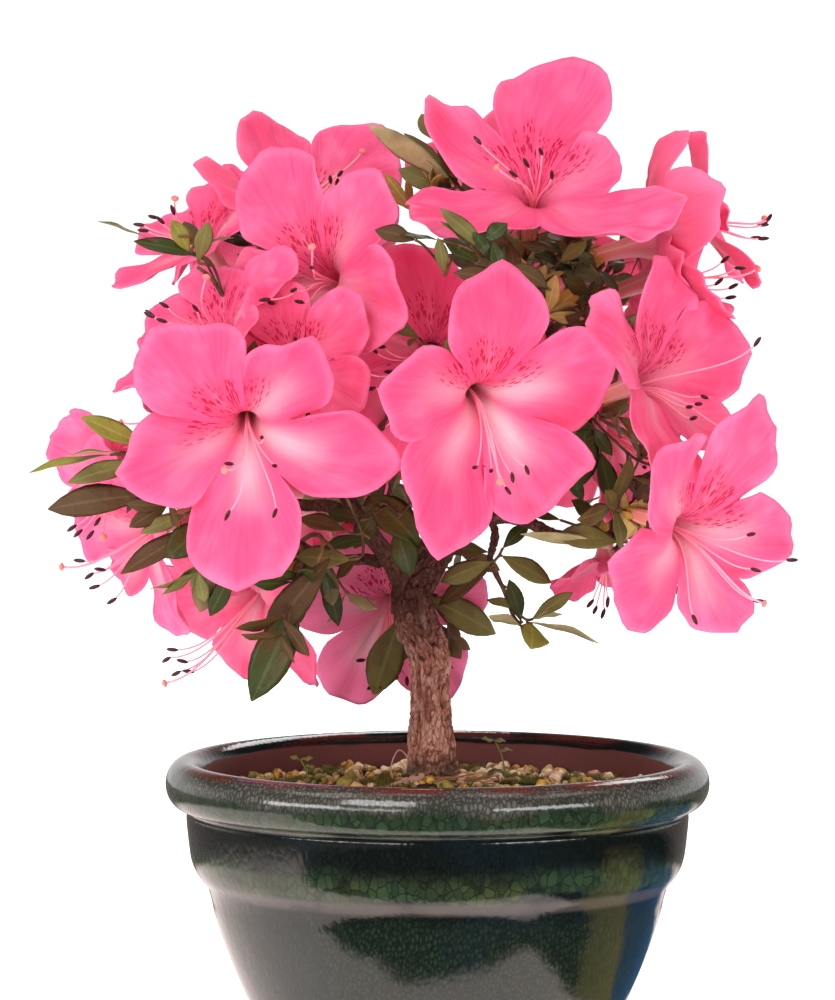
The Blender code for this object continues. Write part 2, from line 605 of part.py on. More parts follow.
def add_blooms(mass, materials, guides):
    """The blooms nearest the stem come first, so that the farther ones branch from their twigs."""
    names = [name for name in BLOOMS if BLOOMS[name][0] == mass.name]
    names.sort(key=lambda name: (bloom_foot(name)[0] - mass.nodes[0][0]).length)
    for name in names:
        foot, outward = bloom_foot(name)
        grow_twig(mass, foot + outward, outward, STALK_RADIUS, guides)
        mass.add(make_corolla(name, materials["blossom"], guides))


def add_stamens(mass, others):
    """The outer blooms' stamens, where they stand clear of the other masses."""
    out, down = STAMEN_REACH
    for name in STAMEN_BLOOMS:
        owner, throat, azimuth, elevation, lean, size = BLOOMS[name]
        if owner != mass.name:
            continue
        _, up, outward = bloom_axes(azimuth, elevation, lean)
        start = bloom_foot(name)[0] + outward * STAMEN_START
        run = Vector(throat) + size * (out * outward - down * up) - start
        mesh = leaf_mesh(start, run.normalized(), up, run.length, STAMEN_FORM)
        if any(tree_of(mesh).overlap(other) for other in others):
            bpy.data.meshes.remove(mesh)
        else:
            mass.add(mesh)


def add_leaves(mass, others, guides):
    """Whorls of leaves at the shoots' tips; a leaf that touches anything is turned or skipped."""
    chance = random.Random(mass.name)
    for owner, tip, toward, count, length, spread in SHOOTS:
        if owner != mass.name:
            continue
        tip = Vector(tip)
        axis = Vector(toward).normalized()
        neighbours = list(mass.trees) + others
        lower = grow_twig(mass, tip, axis, SHOOT_RADIUS, guides)
        for index in range(count):
            leaf_length = length * chance.uniform(0.85, 1.1)
            root = tip.lerp(lower, WHORL_SHARE * (index + 0.5) / count)
            for attempt in range(LEAF_TRIES):
                turn = GOLDEN_TURN * index + LEAF_TURN_AGAIN * attempt + chance.uniform(-25, 25)
                aside = axis.orthogonal().normalized()
                aside.rotate(Matrix.Rotation(math.radians(turn), 3, axis))
                lean = math.radians(spread * chance.uniform(0.6, 1.0))
                direction = axis * math.cos(lean) + aside * math.sin(lean)
                mesh = leaf_mesh(root - direction * LEAF_SUNK, direction, axis, leaf_length)
                tree = tree_of(mesh)
                if not any(tree.overlap(other) for other in neighbours):
                    mass.add(mesh)
                    break
                bpy.data.meshes.remove(mesh)


def join_mass(mass, collection, material):
    """Join the stem and all its members by one union."""
    members = bpy.data.collections.new("members_" + mass.name)
    bpy.context.scene.collection.children.link(members)
    for index, mesh in enumerate(mass.members):
        piece = bpy.data.objects.new(mass.name + "_" + str(index), mesh)
        members.objects.link(piece)
    stem = bpy.data.objects.new(mass.name, mass.stem)
    collection.objects.link(stem)
    union = stem.modifiers.new("join", "BOOLEAN")
    union.operation = "UNION"
    union.solver = "EXACT"
    union.operand_type = "COLLECTION"
    union.collection = members
    mesh = applied(stem)
    for piece in list(members.objects):
        discard(piece)
    bpy.data.collections.remove(members)
    discard(stem)
    bm = bmesh.new()
    bm.from_mesh(mesh)
    drop_scraps(bm)
    mesh.clear_geometry()
    bm.to_mesh(mesh)
    bm.free()
    return add_object(mass.name, mesh, collection, material)


def drop_scraps(bm):
    """Keep the largest connected shell: this drops loose scraps and fills sealed hollows."""
    unseen = set(bm.verts)
    shells = []
    while unseen:
        start = unseen.pop()
        shell = {start}
        queue = [start]
        while queue:
            for edge in queue.pop().link_edges:
                for vertex in edge.verts:
                    if vertex not in shell:
                        shell.add(vertex)
                        queue.append(vertex)
        unseen -= shell
        shells.append(shell)
    shells.sort(key=len)
    loose = [vertex for shell in shells[:-1] for vertex in shell]
    bmesh.ops.delete(bm, geom=loose, context="VERTS")


def main():
    for item in list(bpy.data.objects):
        bpy.data.objects.remove(item, do_unlink=True)
    parts = new_collection("azalea_bonsai")
    cutters = new_collection("cutters", hidden=True)
    guides = new_collection("guides", hidden=True)
    materials = {name: new_material(name) for name in COLOURS}
    make_pot(parts, materials["pot"])
    make_soil(parts, cutters, materials["soil"])
    limbs = {"trunk": make_trunk(parts, guides, materials["bark"])}
    make_boughs(limbs, parts, guides, cutters, materials["bark"])
    limb_trees = [tree_of(applied(limb)) for limb in limbs.values()]
    masses = [Mass(name) for name in MASSES]
    for mass in masses:
        start_mass(mass, guides)
        add_blooms(mass, materials, guides)
    for mass in masses:
        others = [tree for other in masses if other is not mass for tree in other.trees]
        add_stamens(mass, others + limb_trees)
        add_leaves(mass, others + limb_trees, guides)
    for mass in masses:
        look = "leaves" if mass.name.startswith("leaves") else "blossom"
        join_mass(mass, parts, materials[look])
    bpy.data.collections.remove(guides)


main()
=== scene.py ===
# Azalea bonsai in bloom: glaze, gravel, bark, twigs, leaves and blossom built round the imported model.
# Sizes are in millimetres; the photograph looks along +Y, and the origin is under the pot's middle.
import itertools
import math
import random

import bpy
import numpy as np
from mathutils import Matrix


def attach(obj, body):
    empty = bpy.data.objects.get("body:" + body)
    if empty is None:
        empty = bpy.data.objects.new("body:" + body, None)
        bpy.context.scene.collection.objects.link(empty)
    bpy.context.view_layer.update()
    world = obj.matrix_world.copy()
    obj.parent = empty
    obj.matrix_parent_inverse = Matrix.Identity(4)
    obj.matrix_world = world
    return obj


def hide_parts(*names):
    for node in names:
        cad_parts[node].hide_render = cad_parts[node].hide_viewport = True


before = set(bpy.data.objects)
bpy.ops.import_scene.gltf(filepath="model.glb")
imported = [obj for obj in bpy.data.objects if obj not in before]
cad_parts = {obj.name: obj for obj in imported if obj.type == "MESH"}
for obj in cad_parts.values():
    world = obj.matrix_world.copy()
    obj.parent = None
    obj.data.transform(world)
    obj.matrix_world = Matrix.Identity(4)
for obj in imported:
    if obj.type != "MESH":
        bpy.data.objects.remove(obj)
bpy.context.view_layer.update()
mm = 0.001


# Small helpers for numbers

def unit(vectors):
    # Each vector divided by its own length
    return vectors / np.maximum(np.linalg.norm(vectors, axis=-1, keepdims=True), 1e-9)


def smoothStep(low, high, value):
    # 0 below low, 1 above high, and an S-shaped rise between them
    share = np.clip((value - low) / (high - low), 0, 1)
    return share * share * (3 - 2 * share)


def noise3(points, seed=0):
    # Smooth random values from 0 to 1: the eight hashed corners of a unit lattice cell, blended
    cell = np.floor(points).astype(np.int64)
    part = points - cell
    part = part * part * (3 - 2 * part)
    total = np.zeros(points.shape[:-1])
    for corner in itertools.product((0, 1), repeat=3):
        key = (cell + np.array(corner)) @ np.array((73856093, 19349663, 83492791)) + seed * 6542989
        key = ((key ^ (key >> 13)) * 1274126177) & 0x7FFFFFFF
        value = ((key ^ (key >> 15)) & 0xFFFF) / 65535
        total += value * np.prod(np.where(np.array(corner) == 1, part, 1 - part), -1)
    return total


def curveThrough(points, steps):
    # Catmull-Rom curve: each span is the cubic that its four nearest points give, read at even steps
    points = np.asarray(points, float)
    padded = np.concatenate([points[:1], points, points[-1:]])
    t = (np.arange(steps) / steps)[None, :, None]
    a, b, c, d = (padded[i:len(padded) - 3 + i, None] for i in range(4))
    spans = 0.5 * (2 * b + (c - a) * t + (2 * a - 5 * b + 4 * c - d) * t ** 2
                   + (3 * b - a - 3 * c + d) * t ** 3)
    return np.concatenate([spans.reshape(-1, points.shape[1]), points[-1:]])


def cutCorners(points, rounds):
    # Each round replaces a corner by two points a quarter of the way along its sides
    points = np.asarray(points, float)
    for _ in range(rounds):
        near = points[:-1] * 0.75 + points[1:] * 0.25
        far = points[:-1] * 0.25 + points[1:] * 0.75
        middle = np.stack([near, far], 1).reshape(-1, points.shape[1])[1:-1]
        points = np.concatenate([points[:1], middle, points[-1:]])
    return points


# Surfaces: a dictionary of points, quads and tris, with looks for the faces, values and maps for the points

def gridFaces(rows, columns):
    # Quads between neighbouring rows and columns, where the last column meets the first
    row = np.arange(rows - 1)[:, None] * columns
    column = np.arange(columns)[None, :]
    a = row + column
    b = row + (column + 1) % columns
    return np.stack([a, b, b + columns, a + columns], -1).reshape(-1, 4)


def closedRings(rings, columnLooks=None, values=None, maps=None):
    # A closed skin over a row of rings: quads join neighbours, and a fan of triangles closes either end
    count, sides = rings.shape[:2]
    points = np.concatenate([rings.reshape(-1, 3), rings[:1].mean(1), rings[-1:].mean(1)])
    turn = np.arange(sides)
    after = (turn + 1) % sides
    last = (count - 1) * sides
    foot = np.stack([after, turn, np.full(sides, count * sides)], -1)
    tip = np.stack([last + turn, last + after, np.full(sides, count * sides + 1)], -1)
    looks = np.zeros(sides, int) if columnLooks is None else np.asarray(columnLooks)

    def withEnds(grid):
        flat = grid.reshape(count * sides, -1)
        ends = np.stack([grid[0].reshape(sides, -1).mean(0), grid[-1].reshape(sides, -1).mean(0)])
        return np.concatenate([flat, ends])

    return {
        "points": points,
        "quads": gridFaces(count, sides),
        "tris": np.concatenate([foot, tip]),
        "looks": np.concatenate([np.tile(looks, count - 1), looks, looks]),
        "values": {key: withEnds(grid)[:, 0] for key, grid in (values or {}).items()},
        "maps": {key: withEnds(grid) for key, grid in (maps or {}).items()},
    }


def pathFrames(path):
    # Tangent, side and up at each point of a path, turned from the world axis that it runs least along
    tangent = unit(np.gradient(path, axis=0))
    guide = np.eye(3)[np.abs(tangent).max(0).argmin()]
    side = unit(np.cross(guide, tangent))
    return tangent, side, np.cross(tangent, side)


def tube(path, radii, sides):
    # Rings square to a path, one radius to a ring
    _, side, up = pathFrames(path)
    angle = np.linspace(0, 2 * np.pi, sides, endpoint=False)
    spokes = np.cos(angle)[None, :, None] * side[:, None] + np.sin(angle)[None, :, None] * up[:, None]
    return closedRings(path[:, None] + np.asarray(radii)[:, None, None] * spokes)


def turned(profile, segments):
    # A profile of radius and height carried round the Z axis
    angle = np.linspace(0, 2 * np.pi, segments, endpoint=False)
    radius = profile[:, 0, None]
    height = np.broadcast_to(profile[:, 1, None], (len(profile), segments))
    return np.stack([radius * np.cos(angle), radius * np.sin(angle), height], -1)


collection = bpy.data.collections.new("azalea_looks")
bpy.context.scene.collection.children.link(collection)


def addPiece(name, surfaces, materials, stands=()):
    # Joins the surfaces into one mesh at the origin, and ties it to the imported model
    offsets = np.cumsum([0] + [len(item["points"]) for item in surfaces[:-1]])
    points = np.concatenate([item["points"] for item in surfaces]) * mm
    quads = np.concatenate([item["quads"] + offset for item, offset in zip(surfaces, offsets)])
    tris = np.concatenate([item["tris"] + offset for item, offset in zip(surfaces, offsets)])
    quadLooks = [item["looks"][:len(item["quads"])] for item in surfaces]
    triLooks = [item["looks"][len(item["quads"]):] for item in surfaces]
    corners = np.concatenate([quads.ravel(), tris.ravel()]).astype(np.int32)
    starts = np.concatenate([np.arange(len(quads)) * 4, len(quads) * 4 + np.arange(len(tris)) * 3])
    mesh = bpy.data.meshes.new(name)
    mesh.vertices.add(len(points))
    mesh.vertices.foreach_set("co", points.astype(np.float32).ravel())
    mesh.loops.add(len(corners))
    mesh.loops.foreach_set("vertex_index", corners)
    mesh.polygons.add(len(starts))
    mesh.polygons.foreach_set("loop_start", starts.astype(np.int32))
    mesh.polygons.foreach_set("material_index", np.concatenate(quadLooks + triLooks).astype(np.int32))
    mesh.update(calc_edges=True)
    for key in surfaces[0]["values"]:
        values = np.concatenate([item["values"][key] for item in surfaces]).astype(np.float32)
        mesh.attributes.new(key, "FLOAT", "POINT").data.foreach_set("value", values)
    for key in surfaces[0]["maps"]:
        places = np.concatenate([item["maps"][key] for item in surfaces])[corners]
        mesh.uv_layers.new(name=key).data.foreach_set("uv", places.astype(np.float32).ravel())
    mesh.polygons.foreach_set("use_smooth", np.ones(len(starts), bool))
    for material in materials:
        mesh.materials.append(material)
    piece = bpy.data.objects.new(name, mesh)
    collection.objects.link(piece)
    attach(piece, "root")
    if stands:
        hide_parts(*stands)


# Materials: nodes give values that add, subtract and multiply, so that a mask is written as its formula

class Value:
    # A node's output; adding, subtracting or multiplying it makes the node that does so
    def __init__(self, socket):
        self.socket = socket

    def __add__(self, other):
        return maths("ADD", self, other)

    def __sub__(self, other):
        return maths("SUBTRACT", self, other)

    def __rsub__(self, other):
        return maths("SUBTRACT", other, self)

    def __mul__(self, other):
        return maths("MULTIPLY", self, other)


def setInputs(node, inputs):
    # Links a value to its input, and writes anything else into it
    for key, value in inputs.items():
        if isinstance(value, Value):
            node.id_data.links.new(value.socket, node.inputs[key])
        else:
            node.inputs[key].default_value = value


def addNode(tree, kind, inputs=None, **settings):
    # A new node, as its outputs by name
    node = tree.nodes.new(kind)
    for key, value in settings.items():
        setattr(node, key, value)
    setInputs(node, inputs or {})
    return {socket.name: Value(socket) for socket in node.outputs}


def treeOf(*values):
    # The node tree that the first node output among the values belongs to
    return next(item.socket.id_data for item in values if isinstance(item, Value))


def maths(operation, first, second=0):
    tree = treeOf(first, second)
    return addNode(tree, "ShaderNodeMath", {0: first, 1: second}, operation=operation)["Value"]


def mixed(share, first, second):
    inputs = {"Fac": share, "Color1": first, "Color2": second}
    return addNode(treeOf(share, first, second), "ShaderNodeMixRGB", inputs)["Color"]


def layered(base, *coats):
    # Each coat has a share by which it covers what lies under it, and a colour
    for share, tone in coats:
        base = mixed(share, base, tone)
    return base


def ranged(value, low, high):
    # low where the value is 0, and high where it is 1
    inputs = {"Value": value, "To Min": low, "To Max": high}
    return addNode(treeOf(value), "ShaderNodeMapRange", inputs)["Result"]


def rising(value, low, high):
    # 0 below low and 1 above high, with a smooth rise between; a falling step has low above high
    ends = {"Value": value, "From Min": min(low, high), "From Max": max(low, high),
            "To Min": int(low > high), "To Max": int(low < high)}
    return addNode(treeOf(value), "ShaderNodeMapRange", ends, interpolation_type="SMOOTHSTEP")["Result"]


def band(value, start, full, fading, end):
    # 1 from full to fading, and 0 before the start and past the end
    return rising(value, start, full) * rising(value, end, fading)


def place(tree, scale=(1, 1, 1), uvMap=None):
    # Object coordinates, or a named UV map, stretched by a scale
    if uvMap:
        source = addNode(tree, "ShaderNodeUVMap", uv_map=uvMap)["UV"]
    else:
        source = addNode(tree, "ShaderNodeTexCoord")["Object"]
    return addNode(tree, "ShaderNodeMapping", {"Vector": source, "Scale": scale})["Vector"]


def parts(vector):
    # A vector's X, Y and Z
    return addNode(treeOf(vector), "ShaderNodeSeparateXYZ", {"Vector": vector})


def grains(vector, size, detail=3, roughness=0.5):
    # Noise from 0 to 1, with size features to a metre
    inputs = {"Vector": vector, "Scale": size, "Detail": detail, "Roughness": roughness}
    return addNode(treeOf(vector), "ShaderNodeTexNoise", inputs)["Fac"]


def cells(vector, size, feature="DISTANCE_TO_EDGE", **inputs):
    inputs = {"Vector": vector, "Scale": size, **inputs}
    return addNode(treeOf(vector), "ShaderNodeTexVoronoi", inputs, feature=feature)


def cellChance(found):
    # A random value from 0 to 1 for each cell
    return addNode(treeOf(found["Color"]), "ShaderNodeSeparateColor", {"Color": found["Color"]})["Red"]


def readValue(tree, name):
    # A value that the mesh holds at its points
    return addNode(tree, "ShaderNodeAttribute", attribute_name=name)["Fac"]


def colour(red, green, blue):
    # A screen colour from 0 to 255 as the linear value that the shader takes

    def linear(part):
        part = part / 255
        return part / 12.92 if part <= 0.04045 else ((part + 0.055) / 1.055) ** 2.4

    return (linear(red), linear(green), linear(blue), 1)


def darker(shade, share):
    return tuple(part * share for part in shade[:3]) + (1,)


def newMaterial(name, **inputs):
    # The inputs have underscores where the shader's sockets have blanks
    material = bpy.data.materials.new(name)
    material.use_nodes = True
    shader = material.node_tree.nodes["Principled BSDF"]
    setInputs(shader, {key.replace("_", " "): value for key, value in inputs.items()})
    return material, material.node_tree, shader


def addBump(shader, height, distance, strength=1.0):
    inputs = {"Height": height, "Distance": distance, "Strength": strength}
    setInputs(shader, {"Normal": addNode(treeOf(height), "ShaderNodeBump", inputs)["Normal"]})


def blendShader(material, share, shader, other):
    # The surface becomes a mix of the material's own shader and another one
    tree = material.node_tree
    both = addNode(tree, "ShaderNodeMixShader", {0: share, 1: Value(shader.outputs[0]), 2: other})
    setInputs(tree.nodes["Material Output"], {"Surface": both["Shader"]})


def speckled(name, roughness, shades, noise, span=None, bump=None, depth=0.0):
    # Two colours mixed by noise, within a span of its height where one is given, over bumps of other noise
    material, tree, shader = newMaterial(name, Roughness=roughness)
    spot = place(tree)
    share = grains(spot, *noise)
    if span:
        share = rising(share, *span)
    setInputs(shader, {"Base Color": mixed(share, *shades)})
    if bump:
        addBump(shader, grains(spot, *bump), depth)
    return material


# Camera at the photograph's viewing angle

cameraPlan = {
    "distance": 2400,
    "tilt": 4.84,  # degrees down
    "target": (-5.6, 0, 160.4),
    "focalPixels": 8613.6,
    "photoHeight": 1000,
    "photoCentre": (417.5, 500),
    "filmLong": 36,
}


def cameraFrame():
    # Where the camera stands, the way it looks, and what is up in its picture
    tilt = math.radians(cameraPlan["tilt"])
    ahead = np.array((0, math.cos(tilt), -math.sin(tilt)))
    above = np.array((0, math.sin(tilt), math.cos(tilt)))
    return np.array(cameraPlan["target"]) - ahead * cameraPlan["distance"], ahead, above


def makeCamera():
    # A lens whose focal length in pixels of the photograph is the plan's
    plan = cameraPlan
    camera = bpy.data.cameras.new("camera")
    camera.lens = plan["focalPixels"] / plan["photoHeight"] * plan["filmLong"]
    camera.sensor_width = plan["filmLong"]
    camera.clip_end = 100
    holder = bpy.data.objects.new("camera", camera)
    holder.location = cameraFrame()[0] * mm
    holder.rotation_euler = (math.pi / 2 - math.radians(plan["tilt"]), 0, 0)
    bpy.context.scene.collection.objects.link(holder)
    bpy.context.scene.camera = holder


# Light: a white room, soft boxes round the plant, and a floor that the glaze sees as another one

lightPlan = {
    "backdrop": 1.2,  # brightness of the room to the camera, as fill, in the glaze, and there from behind
    "fill": 0.55,
    "inGlaze": 0.04,
    "besideInGlaze": 0.9,
    "backSpan": (-0.15, 0.55),  # of a mirrored ray's heading and rise, where the room's back begins
    "lowSpan": (0.5, 0.15),
    "boxes": (  # place, size across and up, watts
        ((-0.9, -1.8, 1.5), (1.2, 0.9), 22),
        ((-1.9, -1.1, 0.5), (1.3, 0.4), 13),
        ((1.5, -1.5, 0.45), (1.6, 0.35), 13),
        ((-0.9, -0.3, 2.2), (1.0, 1.6), 9),
        ((1.0, -0.3, 2.2), (1.2, 1.6), 9),
        ((0.5, 1.7, 1.6), (1.2, 0.8), 14),
        ((-1.1, -1.9, 0.4), (1.2, 0.3), 5),
    ),
    "aim": (0, 0, 0.17),
    "floorRadius": 1.5,
    "floorDrop": 0.0002,
    "floorWhite": 0.88,
    "floorGlow": 0.6,
    "floorGlowAside": 1.3,
    "wobble": 0.024,  # metres, here and below: how far the mirrored edges wander
    "mirrorFront": (-0.093, -0.083),  # the glaze mirrors a pale floor before the pot
    "mirrorLeft": (-0.081, -0.061),  # and past a slanting line at its left,
    "leftSlope": 2.06,
    "mirrorFar": (0.32, 0.24),  # no farther from the pot than this,
    "cardSide": (0.068, 0.076),  # an olive and a blue card at its right, with slanting edges,
    "cardSlope": 0.19,
    "mirrorOlive": (-0.025, -0.018),
    "mirrorBlue": (-0.012, -0.004),
    "mirrorBeyond": (0.16, 0.20),  # pale again behind, and a dark room, dimly lit at the left and back
    "mirrorAside": (0.18, 0.28),
    "mirrorPale": 1.65,
    "mirrorDark": 0.02,
    "mirrorDim": 0.22,
    "paleFloor": (1.0, 0.85, 0.81, 1),
    "oliveCard": (0.30, 0.24, 0.07, 1),
    "blueCard": (0.03, 0.08, 0.17, 1),
}


def makeRoom():
    # White to the camera, weaker as fill light, and dark in the glaze but for the low part at the back
    plan = lightPlan
    world = bpy.data.worlds.new("room")
    bpy.context.scene.world = world
    world.use_nodes = True
    tree = world.node_tree
    ray = addNode(tree, "ShaderNodeLightPath")
    heading = parts(addNode(tree, "ShaderNodeTexCoord")["Generated"])
    back = rising(heading["Y"], *plan["backSpan"]) * rising(heading["Z"], *plan["lowSpan"])
    mirrored = ranged(back, plan["inGlaze"], plan["besideInGlaze"])
    fill = ranged(ray["Is Glossy Ray"], plan["fill"], mirrored)
    seen = ranged(ray["Is Camera Ray"], fill, plan["backdrop"])
    setInputs(tree.nodes["Background"], {"Color": (1, 1, 1, 1), "Strength": seen})


def makeBoxes():
    # Rectangular lamps that all look at one point of the plant
    for index, (spot, size, watts) in enumerate(lightPlan["boxes"]):
        lamp = bpy.data.lights.new("soft_box_" + str(index), "AREA")
        lamp.shape = "RECTANGLE"
        lamp.size, lamp.size_y = size
        lamp.energy = watts
        holder = bpy.data.objects.new(lamp.name, lamp)
        holder.location = spot
        away = holder.location - type(holder.location)(lightPlan["aim"])
        holder.rotation_euler = away.to_track_quat("Z", "Y").to_euler()
        bpy.context.scene.collection.objects.link(holder)


def floorMaterial():
    # Pale to the camera. To the glaze it is a light whose strength and colour change from place to place.
    plan = lightPlan
    white = (plan["floorWhite"],) * 3 + (1,)
    material, tree, shader = newMaterial("pale_floor", Roughness=0.9, Base_Color=white,
                                         Emission_Color=(1, 1, 1, 1))
    ray = addNode(tree, "ShaderNodeLightPath")
    glow = ranged(ray["Is Camera Ray"], plan["floorGlowAside"], plan["floorGlow"])
    setInputs(shader, {"Emission Strength": glow})
    spot = place(tree)
    at = parts(spot)
    wobble = (grains(spot, 26) - 0.5) * plan["wobble"]
    across, ahead = at["X"] + wobble, at["Y"] + wobble
    side = rising(across, *plan["cardSide"])
    slant = across * plan["cardSlope"]
    olive = rising(ahead + slant, *plan["mirrorOlive"]) * side
    blue = rising(ahead - slant, *plan["mirrorBlue"]) * side
    front = rising(ahead, *plan["mirrorFront"]) * (1.0 - side)
    left = rising(ahead * plan["leftSlope"] - across, *plan["mirrorLeft"])
    lit = maths("MAXIMUM", maths("MAXIMUM", front, left), olive)
    away = addNode(tree, "ShaderNodeVectorMath", {0: spot}, operation="LENGTH")["Value"]
    aside = maths("MAXIMUM", 0.0 - at["X"], at["Y"])
    dim = ranged(rising(aside, *plan["mirrorAside"]), plan["mirrorDark"], plan["mirrorDim"])
    strength = ranged(lit * rising(away, *plan["mirrorFar"]), dim, plan["mirrorPale"])
    tone = layered(plan["paleFloor"], (side, plan["oliveCard"]), (blue, plan["blueCard"]),
                   (rising(ahead, *plan["mirrorBeyond"]), plan["paleFloor"]))
    mirrored = addNode(tree, "ShaderNodeEmission", {"Color": tone, "Strength": strength})
    blendShader(material, ray["Is Glossy Ray"], shader, mirrored["Emission"])
    return material


def makeLight():
    makeRoom()
    makeBoxes()
    bpy.ops.mesh.primitive_circle_add(vertices=96, radius=lightPlan["floorRadius"], fill_type="NGON")
    floor = bpy.context.object
    floor.name = "floor"
    floor.location.z = -lightPlan["floorDrop"]
    floor.data.materials.append(floorMaterial())
    view = bpy.context.scene.view_settings
    view.view_transform = "Standard"
    view.exposure = 0.0


makeCamera()
makeLight()
print("camera and light are set")


# Pot: a rolled rim over a straight collar and a round bowl, in a dark glaze that breaks to green cells

potPlan = {
    "rimCentre": (70.5, 81.2),
    "rimHalfSize": (5.5, 6.8),
    "rimAngles": (-88, 150),
    "collar": ((70.0, 73.4), (70.3, 71.6), (69.6, 65.0), (68.9, 59.6), (67.2, 56.0), (64.2, 52.3)),
    "bowlTop": (63.1, 48.2),
    "bowlFoot": 4.0,
    "bowlDrawIn": 0.157,
    "bowlCurve": 1.25,
    "foot": ((0.4, 0.0), (40.5, 0.0), (42.6, 0.3), (43.0, 2.4)),
    "innerWall": ((65.4, 83.6), (64.9, 79.0), (63.5, 60.0), (57.5, 48.0), (49.0, 20.0), (38.0, 9.0)),
    "floor": ((20.0, 8.0), (0.4, 8.0)),
    "segments": 224,
    "underRoll": (73.4, 74.4, 78.0, 84.5),  # heights where a run of cells begins, is full, fades and ends
    "collarEdge": (55.5, 57.0, 60.0, 66.5),
    "underLine": (73.2, 73.9, 74.2, 75.1),  # the same for the two pale lines of painted highlight and painted reflection
    "ledge": (51.2, 52.6, 54.6, 56.2),
    "bowlCells": (53.0, 47.0),
    "rollTop": (79.5, 84.0),
    "crest": (86.2, 87.3),
    "glazeInside": (86.4, 85.6),  # heights where the glaze stops inside
    "darkGlaze": colour(5, 8, 10),
    "blueGlaze": colour(6, 15, 24),
    "greenCells": colour(41, 57, 37),
    "oliveCells": colour(59, 62, 34),
    "bowlGreen": colour(33, 44, 31),
    # grey on the roll's top: partly the glaze's fine mottle, partly painted reflection of light from above
    "topMottleAndReflection": colour(98, 94, 84),
    # pale grey of the line under the roll and of the ledge: painted highlight and painted reflection
    "paintedReflectionLine": colour(112, 98, 92),
    "rust": colour(96, 36, 24),
    "clay": colour(92, 33, 24),
    "glazeRough": 0.13,
    "clayRough": 0.75,
    "cell": 410,  # cells of the glaze to a metre
    "fineCell": 900,
    "cellSquash": 0.66,  # of heights before the cells are laid out, so that they stand taller than wide
    "fineCellSquash": 0.5,
    "levelDrift": 9,  # millimetres over which noise moves the edges of a run of cells
}


def potProfile():
    # Underside, foot, bowl whose radius falls with the drop to a power, collar, half-round rim and inner
    # wall; the second value is 1 from the rim's crest inwards
    plan = potPlan
    (topRadius, topHeight), (rimRadius, rimHeight) = plan["bowlTop"], plan["rimCentre"]
    drop = (topHeight - plan["bowlFoot"]) * np.linspace(1, 0, 24)
    bowl = np.stack([topRadius - plan["bowlDrawIn"] * drop ** plan["bowlCurve"], topHeight - drop], -1)
    low = cutCorners(np.concatenate([plan["foot"], bowl]), 2)
    collar = cutCorners(plan["collar"][::-1], 3)
    angle = np.radians(np.linspace(*plan["rimAngles"], 40))
    rim = np.stack([rimRadius + plan["rimHalfSize"][0] * np.cos(angle),
                    rimHeight + plan["rimHalfSize"][1] * np.sin(angle)], -1)
    inside = cutCorners([*plan["innerWall"], *plan["floor"]], 2)
    profile = np.concatenate([low, collar, rim, inside])
    first = len(low) + len(collar) + int((angle < np.pi / 2).sum())
    return profile, (np.arange(len(profile)) >= first).astype(float)


def glazeMaterial():
    # Near-black glaze that has run down and broken into green cells: large ones under the roll and along
    # the collar's edge, fine ones on the bowl. The crest is worn to rust, and bare clay shows inside. The
    # roll's top has a grey mottle that is partly painted reflection, and two pale lines are painted
    # highlight and painted reflection.
    plan = potPlan
    material, tree, shader = newMaterial("pot_glaze", IOR=1.6)
    spot = place(tree)
    tall = place(tree, (1, 1, plan["cellSquash"]))
    inner = readValue(tree, "inside")
    cloud = grains(spot, 55)
    height = parts(spot)["Z"] * 1000
    level = height + (cloud - 0.5) * plan["levelDrift"]
    edges = cells(tall, plan["cell"])["Distance"]
    blobs = cells(tall, plan["cell"], "SMOOTH_F1", Smoothness=0.35)["Distance"]
    rounded = rising(edges, 0.0, 0.1) * rising(blobs, 0.95, 0.6)
    patchy = ranged(cellChance(cells(tall, plan["cell"], "F1")), 0.45, 1.0)
    runs = maths("MAXIMUM", band(level, *plan["underRoll"]), band(level, *plan["collarEdge"]))
    fine = cells(place(tree, (1, 1, plan["fineCellSquash"])), plan["fineCell"])["Distance"]
    fineCells = ranged(rising(fine, 0.02, 0.3), 0.3, 1.0)
    # A grey mottle over the roll's top: fine cells of the glaze, lightened as painted reflection
    rollTop = rising(level, *plan["rollTop"]) * fineCells * (cloud * 0.7 + 0.3) * (1.0 - inner)
    # Thin pale lines under the roll and on the ledge: painted highlight and painted reflection
    paintedReflectionLines = maths("MAXIMUM", band(height, *plan["underLine"]), band(height, *plan["ledge"]))
    crest = rising(height, *plan["crest"]) * rising(grains(spot, 45), 0.42, 0.56)
    bare = inner * rising(height + cloud * 2.0, *plan["glazeInside"])
    base = layered(
        plan["darkGlaze"],
        (rising(grains(spot, 38), 0.45, 0.7), plan["blueGlaze"]),
        (fineCells * (rising(level, *plan["bowlCells"]) * 0.55 + 0.22), plan["bowlGreen"]),
        (ranged(rounded, 0.3, 1.0) * patchy * runs,
         mixed(rising(cloud, 0.5, 0.8), plan["greenCells"], plan["oliveCells"])),
        (rollTop, plan["topMottleAndReflection"]),
        (paintedReflectionLines * rising(cloud, 0.32, 0.55) * 0.25, plan["paintedReflectionLine"]),
        (crest * 0.75, plan["rust"]),
        (bare, mixed(rising(grains(spot, 220, 4), 0.45, 0.85), plan["clay"], plan["rust"])))
    rough = ranged(bare, plan["glazeRough"], plan["clayRough"])
    setInputs(shader, {"Base Color": base, "Roughness": rough})
    addBump(shader, grains(spot, 60, 2) + edges * 0.25, 0.0005, 0.5)
    return material


def makePot():
    # The pot's profile carried round its axis
    profile, inside = potProfile()
    values = {"inside": np.repeat(inside[:, None], potPlan["segments"], 1)}
    skin = closedRings(turned(profile, potPlan["segments"]), values=values)
    addPiece("glazed_pot", [skin], [glazeMaterial()], ["pot"])


makePot()
print("pot is glazed")


# Soil: a rough dark bed, gravel of five colours pressed into it, and patches of moss

